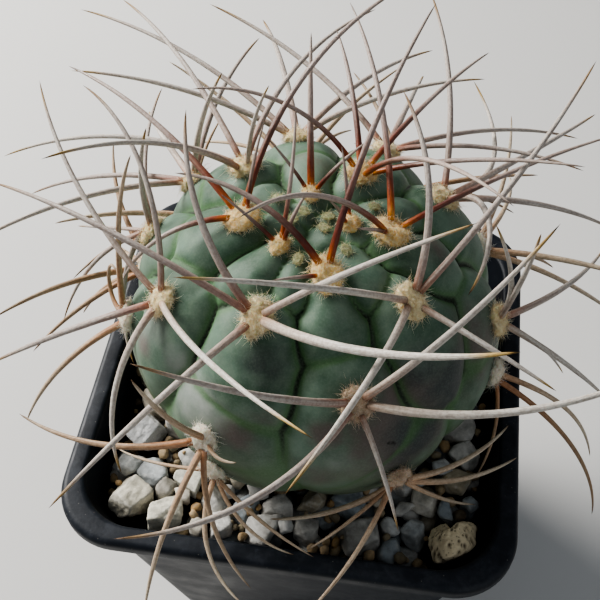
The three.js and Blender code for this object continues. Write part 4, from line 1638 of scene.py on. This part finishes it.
WOOL_LOOKS = {
    "bud": ("#8c9468", "#dddab6"),
    "young": ("#f0c878", "#fff6dc"),
    "mature": ("#ead09a", "#fff8e0"),
    "old": ("#e6dac4", "#fffcf4"),
    # a darker, browner wool for a few areoles
    "worn": ("#b3977c", "#e2d0bc"),
}


def wool_material(name, root, tip):
    """Soft wool, paler at the tips of its hairs."""
    material, tree, shader, places = new_material(
        name, Roughness=0.9, IOR=1.35, Sheen_Weight=0.3, Subsurface_Weight=0.2,
        Subsurface_Scale=1.0 * MM, Specular_IOR_Level=0.2)
    fine = maths(tree, "SUBTRACT", mottle(tree, places, scale=1900), 0.5)
    along = maths(tree, "MULTIPLY_ADD", fine, 0.3, attribute(tree, "hair"))
    base = mix_colours(tree, remapped(tree, along, 0.0, 0.9), root, tip)
    darker = mix_colours(tree, 1.0, base, colour("#ecdcbc"), "MULTIPLY")
    base = tinted(tree, base, attribute(tree, "shade"), 0.5, darker)
    normal = relief_normal(tree, places, coarse=1500, fine=4200, depth=0.3 * MM)
    link_inputs(tree, shader, Base_Color=base, Normal=normal)
    return material


def wool_materials():
    """A wool material for each age, for the tufts of the crown and for a darker, browner wool."""
    return {
        look: wool_material(f"{look}_wool", colour(root), colour(tip))
        for look, (root, tip) in WOOL_LOOKS.items()
    }


def felt_places(axes, ball, draw):
    """The lumpy felt under the hairs."""
    shares = np.array((axes["size"], axes["size"], axes["flatness"]))
    size = shares * WOOL["half_sizes"] * WOOL["felt_share"]
    basis = np.array((axes["right"], axes["crown"], axes["out"]))
    points = (ball * size) @ basis + axes["seat"] + WOOL["seat"] * axes["out"]
    unit = MM * axes["size"] * math.sqrt(axes["flatness"])
    for width, depth in (WOOL["lumps"], WOOL["grains"]):
        points = roughened(points, draw.uniform(0, 50), width * unit, depth * unit)
    return points


def hair_walk(point, way, reach, curl, draw):
    """Points along a hair and its direction at each."""
    points, ways = [point], [way]
    for _ in range(HAIR["steps"]):
        way = way + curl + HAIR["wander"] * random_way(draw)
        way = way / np.linalg.norm(way)
        point = point + way * reach / HAIR["steps"]
        points.append(point)
        ways.append(way)
    return np.array(points), np.array(ways)


def bent_hair(points, ways, template, radius, axes):
    """The template tube bent along a hair."""
    index = np.rint(template[:, 2] * (len(points) - 1)).astype(int)
    side = np.cross(ways, axes["out"] + 0.1 * axes["right"])
    side = side / np.linalg.norm(side, axis=1)[:, None]
    over = np.cross(ways, side)
    taper = radius * (1 - HAIR["taper"] * template[:, 2])
    aside, above = (template[:, 0] * taper)[:, None], (template[:, 1] * taper)[:, None]
    return points[index] + side[index] * aside + over[index] * above


def hair_places(axes, felt, draw, template, count, settings):
    """Curly hairs that stand out of the felt, with a few long ones that trail on the skin."""
    middle = felt.mean(axis=0)
    places = []
    for number in range(count):
        kind = HAIR["matted" if number % HAIR["loose_every"] else "loose"]
        point = felt[draw.randrange(len(felt))]
        outwards = (point - middle) / np.linalg.norm(point - middle)
        way = kind["stand"] * outwards + HAIR["spread"] * random_way(draw)
        way = way / np.linalg.norm(way)
        point = middle + HAIR["root"] * (point - middle)
        length = settings.hair_length * draw.uniform(*HAIR["lengths"])
        reach = length * axes["size"] * axes["reach"] * kind["reach"]
        curl = HAIR["curl"] * random_way(draw) - kind["bend"] * outwards
        if number % HAIR["trailing_every"] == 0:
            trail = HAIR["trailing"]
            flat = way - way.dot(axes["out"]) * axes["out"]
            curl = trail["onward"] * flat + trail["stray"] * random_way(draw)
            curl = curl - trail["down"] * axes["out"]
            reach = trail["reach"] * reach
        points, ways = hair_walk(point, way, reach, curl, draw)
        radius = settings.hair_radius * kind["thickness"]
        places.append(bent_hair(points, ways, template, radius, axes))
    return places


def join_meshes(name, *meshes):
    """One mesh of several, with their attributes."""
    bm = bmesh.new()
    for mesh in meshes:
        bm.from_mesh(mesh)
        bpy.data.meshes.remove(mesh)
    return mesh_from(bm, name)


def wool_mesh(name, tufts, hair, ball, draw, settings):
    """Tufts of wool as one mesh: each is felt with hairs on it."""
    felts, hairs = [], []
    for axes, count in tufts:
        felt = felt_places(axes, ball[0], draw)
        felts.append(felt)
        hairs += hair_places(axes, felt, draw, hair[0], count, settings)
    fluff = copies_mesh("fluff", hair, hairs)
    add_attribute(fluff, "hair", np.tile(hair[0][:, 2], len(hairs)))
    add_attribute(fluff, "shade", np.repeat([draw.random() for _ in hairs], len(hair[0])))
    lumps = copies_mesh("felt", ball, felts)
    for label in ("hair", "shade"):
        add_attribute(lumps, label, np.full(len(felts) * len(ball[0]), WOOL[f"felt_{label}"]))
    return join_meshes(name, fluff, lumps)


def ruled_spines(seed):
    """Spines of an areole that follows the common rule, each a little different."""
    modulus = 2 ** 31 - 1
    state = seed * 7919

    def about(middle):
        nonlocal state
        state = (state * 16807) % modulus
        return middle + RULED_SPINE["vary"] * (2 * state / modulus - 1)

    rule = (RULED_SPINE["lift"], RULED_SPINE["length"], RULED_SPINE["sag"], 0)
    return tuple(tuple(about(middle) for middle in (clock, *rule)) for clock in RULED_CLOCKS)


def spines_mesh(number, axes, age, spines, tube, draw, settings):
    """The spines of an areole as one mesh, each with its own tone (partly its own colour, partly
    painted light and shade) and grain.
    """
    share = tube[0][:, 2]
    turned = around(tube[0])
    places, tones, grains = [], [], []
    for order, spine in enumerate(spines, start=1):
        radius = settings.radius * SPINE["age_share"][age] * draw.uniform(*SPINE["radius_spread"])
        radius *= STOUTNESS.get((number, order), 1)
        places.append(spine_places(axes, spine, tube[0], radius, settings.rings, draw))
        tone = draw.uniform(*SPINE["tones"])
        tones.append(np.full(len(share), TONES.get((number, order), tone)))
        reach = share * spine[2] / SPINE["grain_length"] + draw.uniform(0, 90)
        grains.append(np.column_stack((np.cos(turned), np.sin(turned), reach)))
    mesh = copies_mesh(f"spines_{number:02d}", tube, places)
    add_attribute(mesh, "along", np.tile(share, len(spines)))
    add_attribute(mesh, "tone", np.concatenate(tones))
    add_attribute(mesh, "grain", np.concatenate(grains))
    return mesh


def make_bud_wool(hair, ball, wool, settings):
    """Small tufts of wool on the young tubercles of the crown."""
    tufts = [
        ({**areole_axes(turn, tilt), **BUD_WOOL}, BUD_WOOL["hairs"])
        for turn, tilt, _ in BUDS
    ]
    mesh = wool_mesh("wool_buds", tufts, hair, ball, random.Random(BUD_SEED), settings)
    finish_piece("wool_buds", mesh, wool, "young_spines", "cactus_body")


def make_areoles(settings):
    """Each areole has a felt pad with curly hairs, and its own spines."""
    tube = tube_template(settings.sides, settings.rings)
    hair = tube_template(HAIR["sides"], HAIR["steps"])
    ball = ball_template(WOOL["fineness"])
    horns, wools = spine_materials(), wool_materials()
    every = list(SHOWN_AREOLES)
    every += [(turn, tilt, "old", ruled_spines(seed)) for turn, tilt, seed in RULED_AREOLES]
    for number, (turn, tilt, age, spines) in enumerate(every, start=1):
        draw = random.Random(AREOLE_SEED + number)
        axes = areole_axes(turn, tilt)
        node, slot = f"areole_{number:02d}", f"{age}_spines"
        mesh = spines_mesh(number, axes, age, spines, tube, draw, settings)
        finish_piece(f"spines_{number:02d}", mesh, horns[age], slot, node)
        count = int(settings.hairs * axes["size"] * WOOL_LEFT[age])
        mesh = wool_mesh(f"wool_{number:02d}", [(axes, count)], hair, ball, draw, settings)
        wool = wools["worn" if number in BROWNISH_WOOL else age]
        finish_piece(f"wool_{number:02d}", mesh, wool, slot, node)
    make_bud_wool(hair, ball, wools["bud"], settings)


# ---------------------------------------------------------------- stage

def stage_object(name, data):
    """A new object in the scene."""
    thing = bpy.data.objects.new(name, data)
    bpy.context.scene.collection.objects.link(thing)
    return thing


def make_floor(settings):
    """A plain pale floor."""
    bm = bmesh.new()
    bmesh.ops.create_grid(bm, x_segments=1, y_segments=1, size=FLOOR_HALF)
    floor = stage_object("floor", mesh_from(bm, "floor"))
    material, tree, shader, places = new_material("floor", Roughness=0.9)
    paper = mottle(tree, places, scale=40, low=0.2, high=0.8)
    base = tinted(tree, settings.floor, paper, 0.06, (0.5, 0.5, 0.5))
    link_inputs(tree, shader, Base_Color=base)
    floor.data.materials.append(material)


def make_light(name, power):
    """A round soft light that shines at the plant."""
    given = LIGHTS[name]
    data = bpy.data.lights.new(name, "AREA")
    data.shape = "DISK"
    data.size = given["size"]
    data.energy = power
    data.color = given["tint"]
    light = stage_object(name, data)
    light.location = given["place"]
    light.rotation_mode = "QUATERNION"
    beam = Vector(LIT_PLACE) - Vector(given["place"])
    light.rotation_quaternion = beam.to_track_quat("-Z", "Y")


def make_sky(scene, strength):
    """Even light from all round."""
    world = bpy.data.worlds.new("soft_sky")
    world.use_nodes = True
    background = world.node_tree.nodes["Background"]
    background.inputs["Color"].default_value = opaque(SKY_TINT)
    background.inputs["Strength"].default_value = strength
    scene.world = world


def make_camera():
    """The camera, turned by its yaw, then its pitch, then its roll."""
    yaw, pitch, roll = (math.radians(CAMERA[turn]) for turn in ("yaw", "pitch", "roll"))
    forward = Vector((
        -math.sin(yaw) * math.cos(pitch), math.cos(yaw) * math.cos(pitch), -math.sin(pitch)))
    right = Vector((math.cos(yaw), math.sin(yaw), 0))
    up = right.cross(forward)
    rolled_right = math.cos(roll) * right + math.sin(roll) * up
    rolled_up = math.cos(roll) * up - math.sin(roll) * right
    data = bpy.data.cameras.new("camera")
    data.sensor_width = CAMERA["sensor"]
    data.lens = CAMERA["lens"]
    data.clip_start, data.clip_end = CAMERA["near"], CAMERA["far"]
    camera = stage_object("camera", data)
    turned = Matrix((rolled_right, rolled_up, -forward)).transposed().to_4x4()
    camera.matrix_world = Matrix.Translation(CAMERA["place"]) @ turned
    bpy.context.scene.camera = camera


# ---------------------------------------------------------------- operators

class PieceOperator:
    """What the operators share. Each returns FINISHED, or lets its error stop the script."""

    bl_options = {"REGISTER", "UNDO"}


class CACTUS_OT_pot(PieceOperator, bpy.types.Operator):
    """Build the square pot"""

    bl_idname = "cactus.pot"
    bl_label = "Pot"

    def execute(self, context):
        make_pot(context.scene.cactus_pot)
        return {"FINISHED"}


class CACTUS_OT_soil(PieceOperator, bpy.types.Operator):
    """Fill the pot with soil"""

    bl_idname = "cactus.soil"
    bl_label = "Soil"

    def execute(self, context):
        make_soil(context.scene.cactus_pot)
        return {"FINISHED"}


class CACTUS_OT_gravel(PieceOperator, bpy.types.Operator):
    """Drop gravel and grit on the soil"""

    bl_idname = "cactus.gravel"
    bl_label = "Gravel"

    def execute(self, context):
        make_gravel(context.scene.cactus_gravel)
        return {"FINISHED"}


class CACTUS_OT_stones(PieceOperator, bpy.types.Operator):
    """Lay the larger stones and the pumice on the gravel"""

    bl_idname = "cactus.stones"
    bl_label = "Large stones"

    def execute(self, context):
        make_large_stones(context.scene.cactus_gravel)
        make_pumice(context.scene.cactus_gravel)
        return {"FINISHED"}


class CACTUS_OT_globe(PieceOperator, bpy.types.Operator):
    """Build the globe with its tubercles and root"""

    bl_idname = "cactus.globe"
    bl_label = "Globe"

    def execute(self, context):
        make_globe(context.scene.cactus_globe)
        return {"FINISHED"}


class CACTUS_OT_areoles(PieceOperator, bpy.types.Operator):
    """Set wool and spines on the tubercles"""

    bl_idname = "cactus.areoles"
    bl_label = "Wool and spines"

    def execute(self, context):
        make_areoles(context.scene.cactus_spines)
        return {"FINISHED"}


class CACTUS_OT_stage(PieceOperator, bpy.types.Operator):
    """Set up the floor, the lights and the camera"""

    bl_idname = "cactus.stage"
    bl_label = "Stage"

    def execute(self, context):
        settings = context.scene.cactus_stage
        make_floor(settings)
        make_light("key", settings.key_power)
        make_light("fill", settings.fill_power)
        make_sky(context.scene, settings.sky)
        context.scene.view_settings.look = "AgX - Medium High Contrast"
        make_camera()
        return {"FINISHED"}


OPERATORS = (
    CACTUS_OT_stage, CACTUS_OT_pot, CACTUS_OT_soil, CACTUS_OT_gravel, CACTUS_OT_stones,
    CACTUS_OT_globe, CACTUS_OT_areoles,
)


class VIEW3D_PT_cactus(bpy.types.Panel):
    """The cactus's sizes, colours and build steps"""

    bl_label = "Chin cactus"
    bl_space_type = "VIEW_3D"
    bl_region_type = "UI"
    bl_category = "Cactus"

    def draw(self, context):
        for name, group in SETTINGS.items():
            box = self.layout.box()
            box.label(text=group.__doc__.strip())
            for label in group.__annotations__:
                box.prop(getattr(context.scene, name), label)
        for operator in OPERATORS:
            self.layout.operator(operator.bl_idname)


def register():
    for group in SETTINGS.values():
        bpy.utils.register_class(group)
    for name, group in SETTINGS.items():
        setattr(bpy.types.Scene, name, bpy.props.PointerProperty(type=group))
    for cls in (*OPERATORS, VIEW3D_PT_cactus):
        bpy.utils.register_class(cls)


def unregister():
    for cls in reversed((*OPERATORS, VIEW3D_PT_cactus)):
        bpy.utils.unregister_class(cls)
    for name, group in SETTINGS.items():
        delattr(bpy.types.Scene, name)
        bpy.utils.unregister_class(group)


def main():
    register()
    bpy.ops.cactus.stage()
    bpy.ops.cactus.pot()
    bpy.ops.cactus.soil()
    bpy.ops.cactus.gravel()
    bpy.ops.cactus.stones()
    bpy.ops.cactus.globe()
    bpy.ops.cactus.areoles()
    bpy.context.view_layer.update()


if __name__ == "__main__":
    main()
